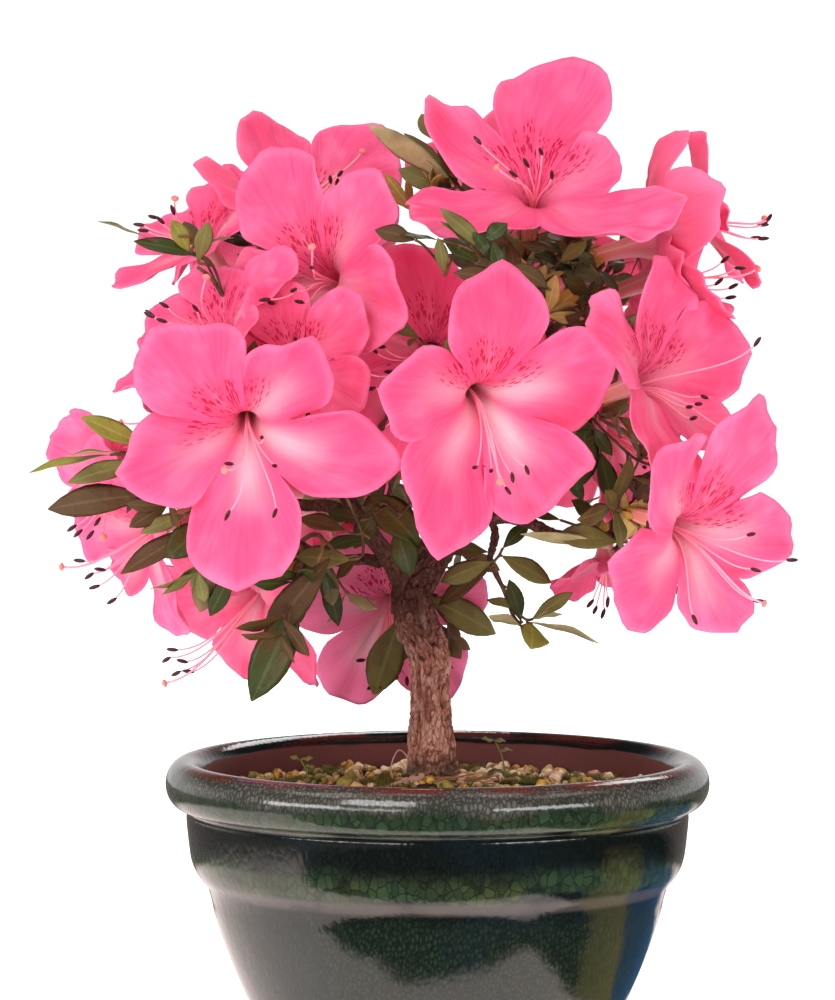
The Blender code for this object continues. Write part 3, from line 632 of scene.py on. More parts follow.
soilPlan = {
    "mound": ((0.4, 82.2), (11.0, 81.6), (26.0, 80.3), (45.0, 79.0), (64.4, 78.0)),
    "bed": ((0.4, 9.0), (36.0, 9.6)),
    "wallGap": 0.8,
    "edge": 64.2,
    "rows": 60,
    "roughness": 1.3,  # height of its lumps, and their two sizes
    "lumpSizes": (5, 1.7),
    "segments": 160,
    "earth": colour(34, 21, 13),
    "mossEarth": colour(44, 36, 12),
}
gravelPlan = {
    "count": 980,
    "reach": (8.5, 63.2),
    "size": (0.6, 2.3),  # half sizes of the grains, and the power that keeps most of them small
    "smallPower": 1.6,
    "squash": (0.7, 1.25),
    "tilt": (-0.7, 0.7),
    "patchSize": 14,  # of the ground where one kind is common
    "sunk": 0.4,
    "clearOfMoss": 0.75,
    "kinds": (  # name, share, screen colour, screen colour of its stains
        ("pale", 0.22, (236, 214, 174), (176, 132, 80)),
        ("beige", 0.26, (198, 166, 104), (96, 66, 30)),
        ("ochre", 0.20, (202, 152, 54), (104, 62, 18)),
        ("pink", 0.08, (212, 164, 132), (120, 76, 52)),
        ("mossy", 0.24, (146, 128, 48), (56, 48, 18)),
    ),
}
mossPlan = {
    "blades": 7600,
    "patches": (  # middle and radius
        (-15, 0, 8), (-14, -10, 7), (-36, -22, 5), (12, -20, 6), (22, 6, 8), (38, -16, 6), (-5, 14, 9),
        (-40, 12, 8), (44, 22, 9), (6, 42, 10), (-28, 38, 10)),
    "length": (0.8, 2.4),
    "lean": 0.4,
    "radius": 0.22,
    "green": colour(40, 42, 10),
    "tips": colour(120, 112, 26),
}


def soilHeight(x, y):
    # The mound's height at its distance from the middle, plus lumps of noise
    radius = np.hypot(x, y)
    mound, (large, small) = np.array(soilPlan["mound"]), soilPlan["lumpSizes"]
    lumps = noise3(np.stack([x / large, y / large, np.zeros_like(x)], -1), 3) - 0.5
    fine = noise3(np.stack([x / small, y / small, np.ones_like(x)], -1), 4) - 0.5
    return np.interp(radius, mound[:, 0], mound[:, 1]) + soilPlan["roughness"] * (lumps + 0.5 * fine)


def makeSoil():
    # The bed and the wall's inside carried round the axis, under a top whose rows lie at the soil's height
    plan = soilPlan
    wall = np.array(potPlan["innerWall"])[2:] - (plan["wallGap"], 0)
    below = np.concatenate([plan["bed"], wall[::-1]])
    top = np.stack([np.linspace(plan["edge"], 0.4, plan["rows"]), np.zeros(plan["rows"])], -1)
    rings = turned(np.concatenate([below, top]), plan["segments"])
    upper = rings[len(below):]
    upper[..., 2] = soilHeight(upper[..., 0], upper[..., 1])
    material = speckled("soil_bed", 0.9, (plan["earth"], plan["mossEarth"]), (70, 4), (0.42, 0.62),
                        (900, 4, 0.7), 0.0009)
    addPiece("soil_bed", [closedRings(rings)], [material], ["soil"])


def grainSkins(centres, sizes, seed):
    # Each grain is a ball of rings, swollen and dented by noise and squashed along three axes
    sides, rows = 8, 5
    latitude = np.linspace(-1.25, 1.25, rows)
    angle = np.linspace(0, 2 * np.pi, sides, endpoint=False)
    ball = np.stack([np.cos(latitude)[:, None] * np.cos(angle), np.cos(latitude)[:, None] * np.sin(angle),
                     np.broadcast_to(np.sin(latitude)[:, None], (rows, sides))], -1)
    chance = np.random.default_rng(seed)
    count = len(centres)
    squash = chance.uniform(*gravelPlan["squash"], (count, 1, 1, 3))
    dents = 0.72 + 0.56 * noise3(ball[None] * 1.3 + chance.uniform(0, 50, (count, 1, 1, 3)), seed)
    turn = chance.uniform(0, 2 * np.pi, (count, 1, 1))
    tilt = chance.uniform(*gravelPlan["tilt"], (count, 1, 1))
    body = ball[None] * squash * dents[..., None]
    x, y, z = body[..., 0], body[..., 1], body[..., 2]
    x, z = x * np.cos(tilt) - z * np.sin(tilt), x * np.sin(tilt) + z * np.cos(tilt)
    x, y = x * np.cos(turn) - y * np.sin(turn), x * np.sin(turn) + y * np.cos(turn)
    body = np.stack([x, y, z], -1) * np.asarray(sizes)[:, None, None, None] + centres[:, None, None]
    return [closedRings(item) for item in body]


def patchGaps(x, y):
    # Distance from the nearest patch of moss, in that patch's radii
    patches = np.array(mossPlan["patches"], float)
    return (np.hypot(x[:, None] - patches[:, 0], y[:, None] - patches[:, 1]) / patches[:, 2]).min(1)


def makeGravel():
    # Grains spread evenly over the bed and thinned out in the moss; noise sorts them into the five kinds
    plan = gravelPlan
    chance = np.random.default_rng(21)
    count, (low, high), (least, most) = plan["count"], plan["reach"], plan["size"]
    radius = np.sqrt(chance.uniform(low ** 2, high ** 2, count))
    angle = chance.uniform(0, 2 * np.pi, count)
    size = least + (most - least) * chance.uniform(0, 1, count) ** plan["smallPower"]
    radius = np.minimum(radius, high - size)
    x, y = radius * np.cos(angle), radius * np.sin(angle)
    kept = patchGaps(x, y) > plan["clearOfMoss"] * chance.uniform(0, 1, count)
    x, y, size = x[kept], y[kept], size[kept]
    centres = np.stack([x, y, soilHeight(x, y) + size * (0.5 - plan["sunk"])], -1)
    spots = np.stack([x / plan["patchSize"], y / plan["patchSize"], np.zeros_like(x)], -1)
    patchy = noise3(spots, 8) + chance.uniform(0, 1, len(x))
    order = np.argsort(patchy)
    for index, (kind, share, screen, stain) in enumerate(plan["kinds"]):
        chosen, order = np.split(order, [math.ceil(share * len(x))])
        material = speckled("gravel_" + kind, 0.75, (colour(*screen), colour(*stain)), (500, 3), (0.4, 0.7),
                            (1800, 3), 0.0003)
        addPiece("gravel_" + kind, grainSkins(centres[chosen], size[chosen], index), [material])


def makeMoss():
    # Each blade is a three-sided spike that leans its own way
    plan = mossPlan
    blades = plan["blades"]
    chance = np.random.default_rng(5)
    patches = np.array(plan["patches"], float)
    chosen = patches[chance.integers(0, len(patches), blades)]
    angle = chance.uniform(0, 2 * np.pi, blades)
    away = chosen[:, 2] * np.sqrt(chance.uniform(0, 1, blades))
    x, y = chosen[:, 0] + away * np.cos(angle), chosen[:, 1] + away * np.sin(angle)
    foot = np.stack([x, y, soilHeight(x, y) + 0.2], -1)
    length = chance.uniform(*plan["length"], blades)
    lean = chance.normal(0, plan["lean"], (blades, 2)) * length[:, None]
    tip = foot + np.column_stack([lean, length])
    corners = np.linspace(0, 2 * np.pi, 3, endpoint=False)
    base = foot[:, None] + plan["radius"] * np.stack([np.cos(corners), np.sin(corners), np.zeros(3)], -1)
    one = np.array([(0, 1, 3), (1, 2, 3), (2, 0, 3), (0, 2, 1)])
    tris = (one + 4 * np.arange(blades)[:, None, None]).reshape(-1, 3)
    points = np.concatenate([base, tip[:, None]], 1).reshape(-1, 3)
    surface = {"points": points, "quads": np.zeros((0, 4), int), "tris": tris,
               "looks": np.zeros(len(tris), int), "values": {}, "maps": {}}
    material = speckled("moss", 0.8, (plan["green"], plan["tips"]), (300, 2))
    addPiece("moss", [surface], [material])


litterPlan = {
    "needles": 26,
    "needleLength": (4, 9),
    "needleReach": ((10, -8), (9, 5.4)),  # middle of where they lie, and how far from it
    "needleRadius": 0.22,
    "needleTurn": (-0.7, 0.7),
    "needleLift": (0.7, 1.6),  # over the soil, and from end to end
    "needleTilt": (-0.5, 1.6),
    "rootlet": ((-12, -6, 81), (-13, -6.5, 86), (-11, -7, 91), (-8.5, -7, 89), (-9, -6.5, 84.5)),
    "rootletRadius": 0.2,
    "root": ((-4, -6, 83.4), (-8, -10, 82.6), (-14, -15, 81.4), (-19, -18, 80.2)),
    "rootRadii": (1.5, 0.7),
    "seedlings": (  # foot, height, leaflets, lean
        ((-36, 6), 8.0, 3, -0.3), ((19, 8), 12.0, 3, -0.25)),
    "stalkRadii": (0.32, 0.2),
    "leaflet": (2.6, 4.0),
    "leafletWidth": 2.0,
    "shades": {"dry_needles": colour(150, 104, 66), "surface_roots": colour(196, 150, 126),
               "seedlings": colour(120, 124, 50)},
}


def needleSkins(chance):
    # Thin straight tubes over the highest soil under each, tilted a little
    plan = litterPlan
    (x, y), (across, deep) = plan["needleReach"]
    for _ in range(plan["needles"]):
        spot = np.array((x + chance.uniform(-across, across), y + chance.uniform(-deep, deep)))
        turn, half = chance.uniform(*plan["needleTurn"]), chance.uniform(*plan["needleLength"]) / 2
        flat = spot + np.linspace(-half, half, 5)[:, None] * np.array((math.cos(turn), math.sin(turn)))
        height = float(soilHeight(flat[:, 0], flat[:, 1]).max()) + chance.uniform(*plan["needleLift"])
        lift = height + np.linspace(0, 1, 5) * chance.uniform(*plan["needleTilt"])
        yield tube(np.column_stack([flat, lift]), np.full(5, plan["needleRadius"]), 5)


def rootSkins():
    # Tubes along smooth curves: the looped rootlet at one radius, and the root as it tapers
    plan = litterPlan
    loop, root = (curveThrough(plan[key], 6) for key in ("rootlet", "root"))
    return (tube(loop, np.full(len(loop), plan["rootletRadius"]), 6),
            tube(root, np.linspace(*plan["rootRadii"], len(root)), 8))


def seedlingSkins(chance):
    # A stalk that bends over, with leaflets in pairs down from its tip
    for (x, y), height, leaflets, lean in litterPlan["seedlings"]:
        foot = np.array((x, y, float(soilHeight(np.array([x]), np.array([y]))[0])))
        rise = np.linspace(0, 1, 8)[:, None]
        stalk = foot + height * (rise * np.array((0, 0, 1)) + rise ** 2 * np.array((lean, 0.1, -0.1)))
        yield tube(stalk, np.linspace(*litterPlan["stalkRadii"], 8), 5)
        for index in range(leaflets):
            turn = math.pi * index + chance.uniform(-0.5, 0.5)
            direction = unit(np.array((math.cos(turn), 0.4 * math.sin(turn + 1), chance.uniform(0, 0.6))))
            yield leafSkin(stalk[-1 - index // 2 * 2], direction, np.array((0, -0.5, 1.0)),
                           chance.uniform(*litterPlan["leaflet"]), chance, litterPlan["leafletWidth"])


def makeLitter():
    # Dry needles by the trunk, a looped rootlet, a root that shows, and seedlings
    chance = random.Random(12)
    for name, skins in (("dry_needles", needleSkins(chance)), ("surface_roots", rootSkins()),
                        ("seedlings", seedlingSkins(chance))):
        shade = litterPlan["shades"][name]
        material = speckled(name, 0.7, (shade, darker(shade, 0.6)), (500, 3))
        skins = [{**item, "maps": {}, "looks": np.zeros_like(item["looks"])} for item in skins]
        addPiece(name, skins, [material])


makeSoil()
makeGravel()
makeMoss()
print("soil, gravel and moss are laid")


# Trunk and boughs: limbs whose radius carries the bark's fissures and flakes

trunkPath = (  # x, y, z and radius
    (-1.5, 0.0, 81.6, 8.4), (-1.5, 0.0, 85.5, 6.9), (-1.8, 0.0, 97.8, 6.0), (-2.1, 0.0, 109.2, 5.3),
    (-2.6, 0.0, 117.8, 5.6), (-6.0, 0.5, 126.2, 5.9), (-7.0, 1.0, 134.5, 5.6), (-3.5, 1.0, 141.0, 4.9),
    (0.1, 1.0, 147.3, 4.7), (4.2, 2.0, 156.0, 4.2), (5.0, 3.0, 169.0, 3.6), (6.0, 4.0, 184.0, 2.9),
    (10.0, 3.0, 203.0, 1.9))
boughPaths = {  # bearer, radius at foot and tip, points
    "bough_front_left": ("trunk", 2.7, 1.5,
                         ((-8, 0, 136), (-17, -3, 149), (-23, -9, 158), (-30, -20, 172), (-33, -27, 180))),
    "bough_low_left": ("bough_front_left", 1.8, 1.3,
                       ((-21, -6, 155), (-30, -6, 159), (-38, -5, 159.5), (-47, -3, 161))),
    "bough_hanging_left": ("bough_front_left", 1.5, 1.1,
                           ((-13, -1, 143), (-22, 3, 143.5), (-31, 4, 142.5), (-36, 2, 144))),
    "bough_low_back": ("trunk", 1.8, 1.3,
                       ((-4, 2, 141), (-4, 14, 144), (-5, 27, 144.5), (-6, 33, 143.5))),
    "bough_low_right": ("trunk", 2.1, 1.3,
                        ((3, 1, 153), (13, -2, 155.5), (23, -5, 155.5), (33, -11, 151.5), (44, -15, 150.5))),
    "bough_spray": ("trunk", 1.3, 0.9,
                    ((5, 3, 160), (12, 7, 158), (16, 6, 151.5), (15, 4, 145))),
    "bough_right": ("trunk", 2.0, 1.3,
                    ((5, 2, 165), (11, -4, 170), (17, -10, 174), (22, -15, 176))),
    "bough_centre": ("trunk", 1.9, 1.3,
                     ((5, 3, 173), (4, -7, 180), (3, -15, 186))),
    "bough_upper_left": ("trunk", 2.1, 1.3,
                         ((5, 3, 177), (-6, 2, 186), (-18, 0, 194), (-25, -2, 199))),
    "bough_upper_right": ("trunk", 1.8, 1.3,
                          ((7, 4, 187), (16, 8, 197), (27, 9, 204), (33, 10, 208))),
    "bough_back_left": ("trunk", 1.8, 1.3,
                        ((5, 3, 168), (-6, 14, 176), (-17, 23, 183), (-22, 27, 187))),
    "bough_back": ("trunk", 1.7, 1.3,
                   ((3, 2, 154), (-1, 15, 162), (-5, 28, 167), (-7, 33, 169))),
    "bough_back_right": ("trunk", 1.8, 1.3,
                         ((6, 3, 180), (14, 15, 186), (24, 24, 190), (28, 29, 192))),
}
barkPlan = {
    "across": 1.5,  # width of a flake, and its height
    "along": 3.6,
    "depth": 1.1,
    "twist": 0.012,  # radians for each millimetre up the limb
    "warp": 1.1,
    "crackSpan": (0.70, 0.98),  # nearness to a fissure's middle, from its edge to its full depth
    "fineCrackSpan": (0.75, 1),
    "rings": 0.8,  # wrinkles across the limb, most where the trunk bends
    "ringStep": 1.1,
    "bendAt": 40.0,
    "bendReach": 13.0,
    "flare": 0.20,
    "flareHeight": 3.5,
    "scales": 950,  # of fine cracks to a metre
    "boughScale": 0.55,
    "collar": 0.5,  # swelling where a bough leaves its limb
    "collarReach": 3.0,
    # ridge and fissure colours: the bark's own, and also painted highlight on ridges and painted shade in
    # fissures
    "ridgeAndHighlight": colour(222, 170, 148),
    "bark": colour(182, 114, 92),
    "fissureAndShade": colour(50, 23, 17),
    "upper": colour(60, 31, 24),
    "damp": colour(66, 52, 32),
}


def barkSkin(path, radii, sides, seed, scale=1.0, foot=None):
    # Radius of a limb plus its bark: long flakes between fissures where noise crosses its middle value,
    # twisted a little up the limb, with finer noise and the bend's wrinkles on top
    plan = barkPlan
    _, side, up = pathFrames(path)
    angle = np.linspace(0, 2 * np.pi, sides, endpoint=False)[None]
    radius = np.asarray(radii)[:, None] * np.ones_like(angle)
    run = np.concatenate([[0], np.cumsum(np.linalg.norm(np.diff(path, axis=0), axis=1))])[:, None]
    if foot:
        away = np.exp(-np.maximum(path[:, 2:3] - foot, 0) / plan["flareHeight"])
        radius = radius * (1 + plan["flare"] * (0.5 + 0.5 * np.cos(3 * angle + 0.6)) * away)
    across = plan["across"] * scale
    twist = angle + run * plan["twist"]
    spot = np.stack([radius * np.cos(twist) / across, radius * np.sin(twist) / across,
                     run / (plan["along"] * scale) + 0 * angle], -1)
    spot = spot + plan["warp"] * (noise3(spot * 0.6, seed)[..., None] - 0.5) * (1, 1, 0.6)
    first = noise3(spot, seed + 1)
    second = noise3(spot * (1.9, 1.9, 1.5), seed + 2)
    flake = noise3(spot * (3.6, 3.6, 3.0), seed + 3)
    rings = noise3(spot * (0.4, 0.4, plan["along"] / plan["ringStep"]), seed + 4)
    crack = smoothStep(*plan["crackSpan"], 1 - np.abs(2 * first - 1))
    crack = crack + 0.6 * smoothStep(*plan["fineCrackSpan"], 1 - np.abs(2 * second - 1))
    bend = 0.25 + 0.75 * np.exp(-((run - plan["bendAt"]) / plan["bendReach"]) ** 2)
    relief = 0.5 * first + 0.35 * flake - 0.6 * np.minimum(crack, 1.2)
    relief = relief + plan["rings"] * (rings - 0.5) * bend
    radius = radius + plan["depth"] * scale * (relief - 0.1)
    spokes = np.cos(angle)[..., None] * side[:, None] + np.sin(angle)[..., None] * up[:, None]
    rings = path[:, None] + radius[..., None] * spokes
    return closedRings(rings, values={"relief": np.clip(0.5 + relief * 0.75, 0, 1)})


def barkMaterial(name, isBough):
    # Dark fissures to pale ridges by the relief, partly the bark's own colour and partly painted shade in
    # the fissures and painted highlight on the ridges, with fine cracks; damp at the soil and darker in the
    # crown
    plan = barkPlan
    material, tree, shader = newMaterial(name, Roughness=0.82, Specular_IOR_Level=0.25)
    spot = place(tree)
    relief = readValue(tree, "relief")
    tone = grains(place(tree, (1, 1, 0.35)), 260, 4, 0.65)
    drift = addNode(tree, "ShaderNodeCombineXYZ", {"X": tone * 0.004, "Z": tone * 0.003})["Vector"]
    pulled = addNode(tree, "ShaderNodeVectorMath", {0: place(tree, (1, 1, 0.32)), 1: drift})["Vector"]
    split = rising(cells(pulled, plan["scales"])["Distance"] + tone * 0.3, 0.24, 0.08)
    paler = grains(place(tree, (1, 1, 0.25)), 700, 3, 0.6)
    base = layered(
        # Dark in low relief and pale on high relief: partly the bark's colour, partly painted shade and
        # painted highlight
        plan["fissureAndShade"],
        (rising(relief, 0.04, 0.5), plan["bark"]),
        (rising(relief, 0.48, 0.95) * 0.75, plan["ridgeAndHighlight"]),
        (rising(tone, 0.38, 0.72) * 0.55, plan["fissureAndShade"]),
        (split * 0.6, plan["fissureAndShade"]),
        (rising(paler, 0.54, 0.70) * 0.32, plan["ridgeAndHighlight"]))
    if isBough:
        base = mixed(0.8, base, plan["upper"])
    else:
        level = parts(spot)["Z"] + grains(spot, 130) * 0.012
        base = layered(base, (rising(level, 0.098, 0.089) * 0.8, plan["damp"]),
                       (rising(level, 0.118, 0.140) * 0.85, plan["upper"]))
    setInputs(shader, {"Base Color": base})
    addBump(shader, grains(place(tree, (1, 1, 0.3)), 1200, 4, 0.7) - split, 0.0008)
    return material


def makeLimbs():
    # A bough's radius runs evenly from foot to tip, and a collar that fades swells it past its foot
    plan = barkPlan
    path = curveThrough(trunkPath, 36)
    trunk = barkSkin(path[:, :3], path[:, 3] - 0.15, 132, 40, foot=trunkPath[0][2])
    addPiece("trunk_bark", [trunk], [barkMaterial("trunk_bark", False)], ["trunk"])
    skins = []
    for index, (_, foot, tip, points) in enumerate(boughPaths.values()):
        path = curveThrough(points, 14)
        away = np.linalg.norm(path - path[0], axis=1)
        radii = foot + (tip - foot) * np.linspace(0, 1, len(path))
        radii = radii * (1 + plan["collar"] * np.exp(-np.maximum(away - plan["collarReach"], 0) / 2.5))
        radii[away < plan["collarReach"]] = foot
        skins.append(barkSkin(path, radii, 36, 60 + 5 * index, plan["boughScale"]))
    addPiece("bough_bark", skins, [barkMaterial("bough_bark", True)], list(boughPaths))


makeLimbs()
print("trunk and boughs have their bark")


# Blooms: one funnel of five lobes each, at the places that the source gives them

def bloom(mass, throat, faces, lean, size, turns=(0,) * 5, lengths=(1,) * 5, lifts=(0,) * 5,
          flare=0.7, tone=0.0, tips=None, widths=(1,) * 5):
    # faces is the azimuth and elevation that the bloom looks along, lean that of its top lobe as seen in the
    # photograph; five values run from the top lobe round; tips are the photograph's pixels where anthers lie
    # and, last, where the stigma lies. A tone above 0 deepens the pink and one below 0 pales it;
    # centre_shaded's deeper pink is painted shade, and low_back_centre's paler pink painted light
    return {"mass": mass, "throat": np.array(throat, float), "faces": faces, "lean": lean, "size": size,
            "turns": turns, "lengths": lengths, "lifts": lifts, "flare": flare, "tone": tone,
            "tips": tips, "widths": widths}


blooms = {
    "top_left": bloom("blossom_top", (26.5, -25, 244), (8, 44), 86, 40, (-9, -3, -21, 21, 15),
                      (1.05, 1.0, 1.15, 1.2, 0.8), (-15, -30, -15, -30, -45), flare=0.25,
                      widths=(1.0, 0.85, 0.5, 0.45, 0.95),
                      tips=((480, 143), (542, 154), (528, 166), (516, 176), (552, 178), (497, 168))),
    "top_back": bloom("blossom_top", (20, 36, 238), (170, 45), 90, 32),
    "upper_left_high": bloom("blossom_upper_left", (-40, 8, 238), (20, 52), 95, 32, (0, 0, 0, 0, 8),
                             (1.0, 1.0, 1.0, 1.0, 1.15)),
    "upper_left_far": bloom("blossom_upper_left", (-63, -3, 229), (-58, 50), 108, 28),
    "upper_left": bloom("blossom_front_left", (-28.5, -45, 224), (-36, 17), 126, 36, (2, -5, 0, 0, 4),
                        (1.12, 0.95, 1.0, 1.0, 0.98)),
    "left": bloom("blossom_front_left", (-57, -50, 207), (-56, 45), 115, 33, (11, -6, -5, 0, 0),
                  (0.92, 1.0, 1.04, 1.0, 1.0), (8, 0, -8, 0, 0)),
    "left_small": bloom("blossom_front_left", (-37.5, -64, 201.5), (-13, 22), 110, 26, flare=0.3,
                        tips=((297, 342), (322, 357), (300, 362), (285, 358), (312, 370), (328, 372))),
    "front_left": bloom("blossom_front_left", (-51.5, -84, 189), (0, -20), 126, 38.5, (-5, 0, -1, 8, -2),
                        (1.06, 0.97, 1.12, 1.06, 0.95), (7, 0, -3, 5, -6), tone=0.3,
                        tips=((262, 437), (276, 466), (276, 510), (229, 512), (232, 464), (225, 470))),
    "front_centre": bloom("blossom_centre", (10, -80, 196), (21, -14), 91, 38.5, (6, 2, 6, -2, -5),
                          (1.04, 0.97, 1.08, 1.03, 1.03), (6, -6, 0, 0, 0), flare=1.0, tone=0.3,
                          tips=((477, 467), (526, 467), (506, 488), (492, 470), (512, 474), (500, 481))),
    # a deeper tone here is painted shade, as this bloom lies in the crown's shadow
    "centre_shaded": bloom("blossom_centre", (-2, -25, 203.5), (-5, -4), 86, 35, (7, 10, 0, 0, 0),
                           (0.98, 0.88, 1.07, 1.0, 1.0), (6, -5, 0, 0, 0), tone=0.35,
                           tips=((384, 347), (376, 352), (374, 388), (381, 429), (392, 372), (366, 372))),
    "top_right": bloom("blossom_upper_right", (54, -15, 232), (97, 14), 95, 36, lifts=(-52,) * 5,
                       tips=((706, 203), (690, 196), (700, 214), (694, 222), (684, 208), (712, 190))),
    "upper_right": bloom("blossom_upper_right", (57, -7.5, 221.5), (84, 20), 82, 31.5, (8, 0, 0, 0, 0),
                         (0.87, 0.95, 1.0, 1.0, 1.0), (-14, -30, -20, -20, -20),
                         tips=((736, 268), (727, 298), (722, 262), (716, 284), (730, 288), (757, 269))),
    "upper_right_far": bloom("blossom_upper_right", (70, 22, 236), (95, 20), 80, 27, lifts=(-15,) * 5),
    "right": bloom("blossom_right", (54, -47, 196), (56, 19), 78, 36, (-14, -4, 15, 14, 1),
                   (1.04, 1.02, 1.07, 0.87, 1.09), (-10, 4, -10, -6, -8), flare=0.5,
                   tips=((687, 407), (691, 419), (702, 396), (755, 345), (696, 404), (730, 430))),
    "right_small": bloom("blossom_right", (46, -14, 181), (57, -5), 87, 26),
    "low_right": bloom("blossom_low_right", (64, -62, 158.5), (45, -9), 58, 38, (-1, -14, -4, 8, 6),
                       (1.08, 1.03, 1.03, 0.92, 0.98), (0, -10, 10, -4, 2), flare=1.0,
                       tips=((748, 535), (752, 569), (788, 560), (755, 601), (693, 616), (763, 603))),
    "low_right_hanging": bloom("blossom_low_right", (47, 6, 146), (20, -72), 91, 21, lifts=(-35,) * 5),
    "low_left_high": bloom("blossom_low_left", (-86, -12, 169), (-47, -20), 75, 26),
    "low_left": bloom("blossom_low_left", (-77, -22, 155), (-60, -18), 95, 32, (0, 3, -29, -4, 0),
                      (1.0, 1.0, 0.85, 1.05, 1.0), (0, 0, 8, 0, 0),
                      tips=((83, 561), (98, 586), (115, 599), (104, 570), (92, 574), (63, 567))),
    "hanging_left": bloom("blossom_hanging_left", (-49, -9, 136), (-45, -35), 105, 32,
                          tips=((169, 658), (179, 672), (186, 662), (176, 650), (192, 672), (166, 683))),
    # its negative tone pales the pink as painted light on a bloom that the crown shades
    "low_back_centre": bloom("blossom_low_back", (-13.5, 34, 129), (-7, -26), 94, 33, flare=1.0, tone=-0.8),
    "back_left": bloom("blossom_back_left", (-38, 52, 214), (205, 25), 95, 34),
    "back_left_side": bloom("blossom_back_left", (-60, 30, 186), (235, 5), 85, 31),
    "back_centre": bloom("blossom_back", (-4, 66, 186), (180, 0), 95, 35),
    "back_low": bloom("blossom_back", (-34, 54, 156), (200, -25), 85, 31),
    "back_upper_right": bloom("blossom_back_right", (30, 60, 214), (160, 20), 85, 33),
    "back_right_side": bloom("blossom_back_right", (57, 34, 198), (118, 10), 95, 30),
    "back_right_low": bloom("blossom_back_right", (44, 56, 176), (150, -10), 90, 27),
}
petalPlan = {
    "run": 1.45,  # from the tube's foot to a lobe's tip, in bloom sizes
    "steps": 200,  # along that run, and with the stretch beyond for longer lobes
    "allSteps": 240,
    "throatAt": 0.36,
    "notchAt": (0.56, 0.72),
    "flareSpan": (0.27, 0.62),
    "lipSpan": (0.6, 1.0),
    "tubeSlope": 4,
    "flareSlope": 74,
    "lipSlope": 8,
    "footWidth": 1.2,
    "fullness": (2.0, 2.9),  # of a lobe's outline: low is slim, high is square
    "roundness": (0.55, 0.95),  # low is round, high is pointed
    "columns": 30,  # of each lobe
    "tubeRows": 7,  # of points, and the share of the run that they cover
    "tubeSpan": (0.05, 0.30),
    "limbRows": 26,
    "limbSpan": (0.34, 1),
    "thickness": 0.4,
    "tip": 0.05,  # how far a lobe's point stands out, and how far its sides are skewed
    "skew": (-0.22, 0.22),
    "ragged": (0.012, 0.026),
    "ruffle": 1.7,
    "crease": 0.5,
    "cup": 0.15,
    "cupped": (-0.8, 1.0),
    "curl": (-0.10, 0.10),
    "groove": 1.5,
    "overlap": 1.7,
    "overlapTurn": 0.17,
    "drift": 2.4,  # height of the broad waves, and their size
    "driftSize": 11,
    "spotSpan": (0.36, 0.42, 0.64, 0.80),  # shares of the run where spots begin, are full, fade and end
    "whiteSpan": (0.18, 0.28, 0.56, 0.88),
    "whiteByLobe": (0.12, 0.6, 1.0, 1.0, 0.8),
    "throatFade": (0.18, 0.32),
    "tubeFade": (0.18, 0.62),
    "ribFade": (0.5, 0.85),
    "ribWidth": 0.13,  # of half a lobe
    "pink": colour(252, 96, 148),
    "deepPink": colour(236, 46, 100),
    "palePink": colour(255, 152, 198),
    "flareWhite": colour(240, 188, 200),
    "spots": colour(196, 8, 66),
    "throat": colour(150, 136, 66),
    "outside": colour(250, 116, 154),
    "tubeFoot": colour(240, 146, 122),
    "rib": colour(250, 200, 176),
    "translucent": 0.25,
}


def facing(azimuth, elevation):
    # The direction at an azimuth from the camera's side to the right, and at an elevation
    turn, rise = math.radians(azimuth), math.radians(elevation)
    return np.array((math.sin(turn) * math.cos(rise), -math.cos(turn) * math.cos(rise), math.sin(rise)))


def bloomAxes(item):
    # Right, up and outward axes; up is the top lobe's lean in the photograph's plane, squared to outward
    outward = facing(*item["faces"])
    lean = math.radians(item["lean"])
    up = np.array((math.cos(lean), 0, math.sin(lean)))
    up = unit(up - up @ outward * outward)
    return np.cross(up, outward), up, outward


def petalRun(size, lift):
    # Radius and height along a lobe's midline: its slope runs from tube to flare to lip, and is summed
    plan = petalPlan
    steps, count = plan["steps"], plan["allSteps"]
    at = (np.arange(count) + 0.5) / steps
    opening = (plan["flareSlope"] - plan["tubeSlope"]) * smoothStep(*plan["flareSpan"], at)
    lip = (plan["lipSlope"] + lift) * smoothStep(*plan["lipSpan"], at)
    slope = np.radians(plan["tubeSlope"] + opening + lip)
    piece = size * plan["run"] / steps
    share = np.arange(count + 1) / steps
    radius = np.concatenate([[0], np.cumsum(np.sin(slope))]) * piece
    radius = radius + plan["footWidth"] * smoothStep(0, 0.12, share)
    return share, radius, np.concatenate([[0], np.cumsum(np.cos(slope))]) * piece


def throatHeight(size):
    # How far above the tube's foot the throat lies
    share, _, heights = petalRun(size, 0)
    return np.interp(petalPlan["throatAt"], share, heights)


def lobeChances(name):
    # What differs from lobe to lobe, drawn in this order
    plan = petalPlan
    chance = np.random.default_rng(sum(map(ord, name)) * 7)
    spans = {"skew": plan["skew"], "cup": plan["cupped"], "curl": plan["curl"], "point": (0.1, 1.5),
             "gaps": plan["notchAt"], "fullness": plan["fullness"], "roundness": plan["roundness"],
             "waves": (0, 2 * np.pi), "ragged": plan["ragged"], "drift": (0, 90), "lower": (0, 1),
             "tone": (0, 1)}
    shapes = {"waves": (5, 3), "drift": 1}
    return {key: chance.uniform(*span, shapes.get(key, 5)) for key, span in spans.items()}


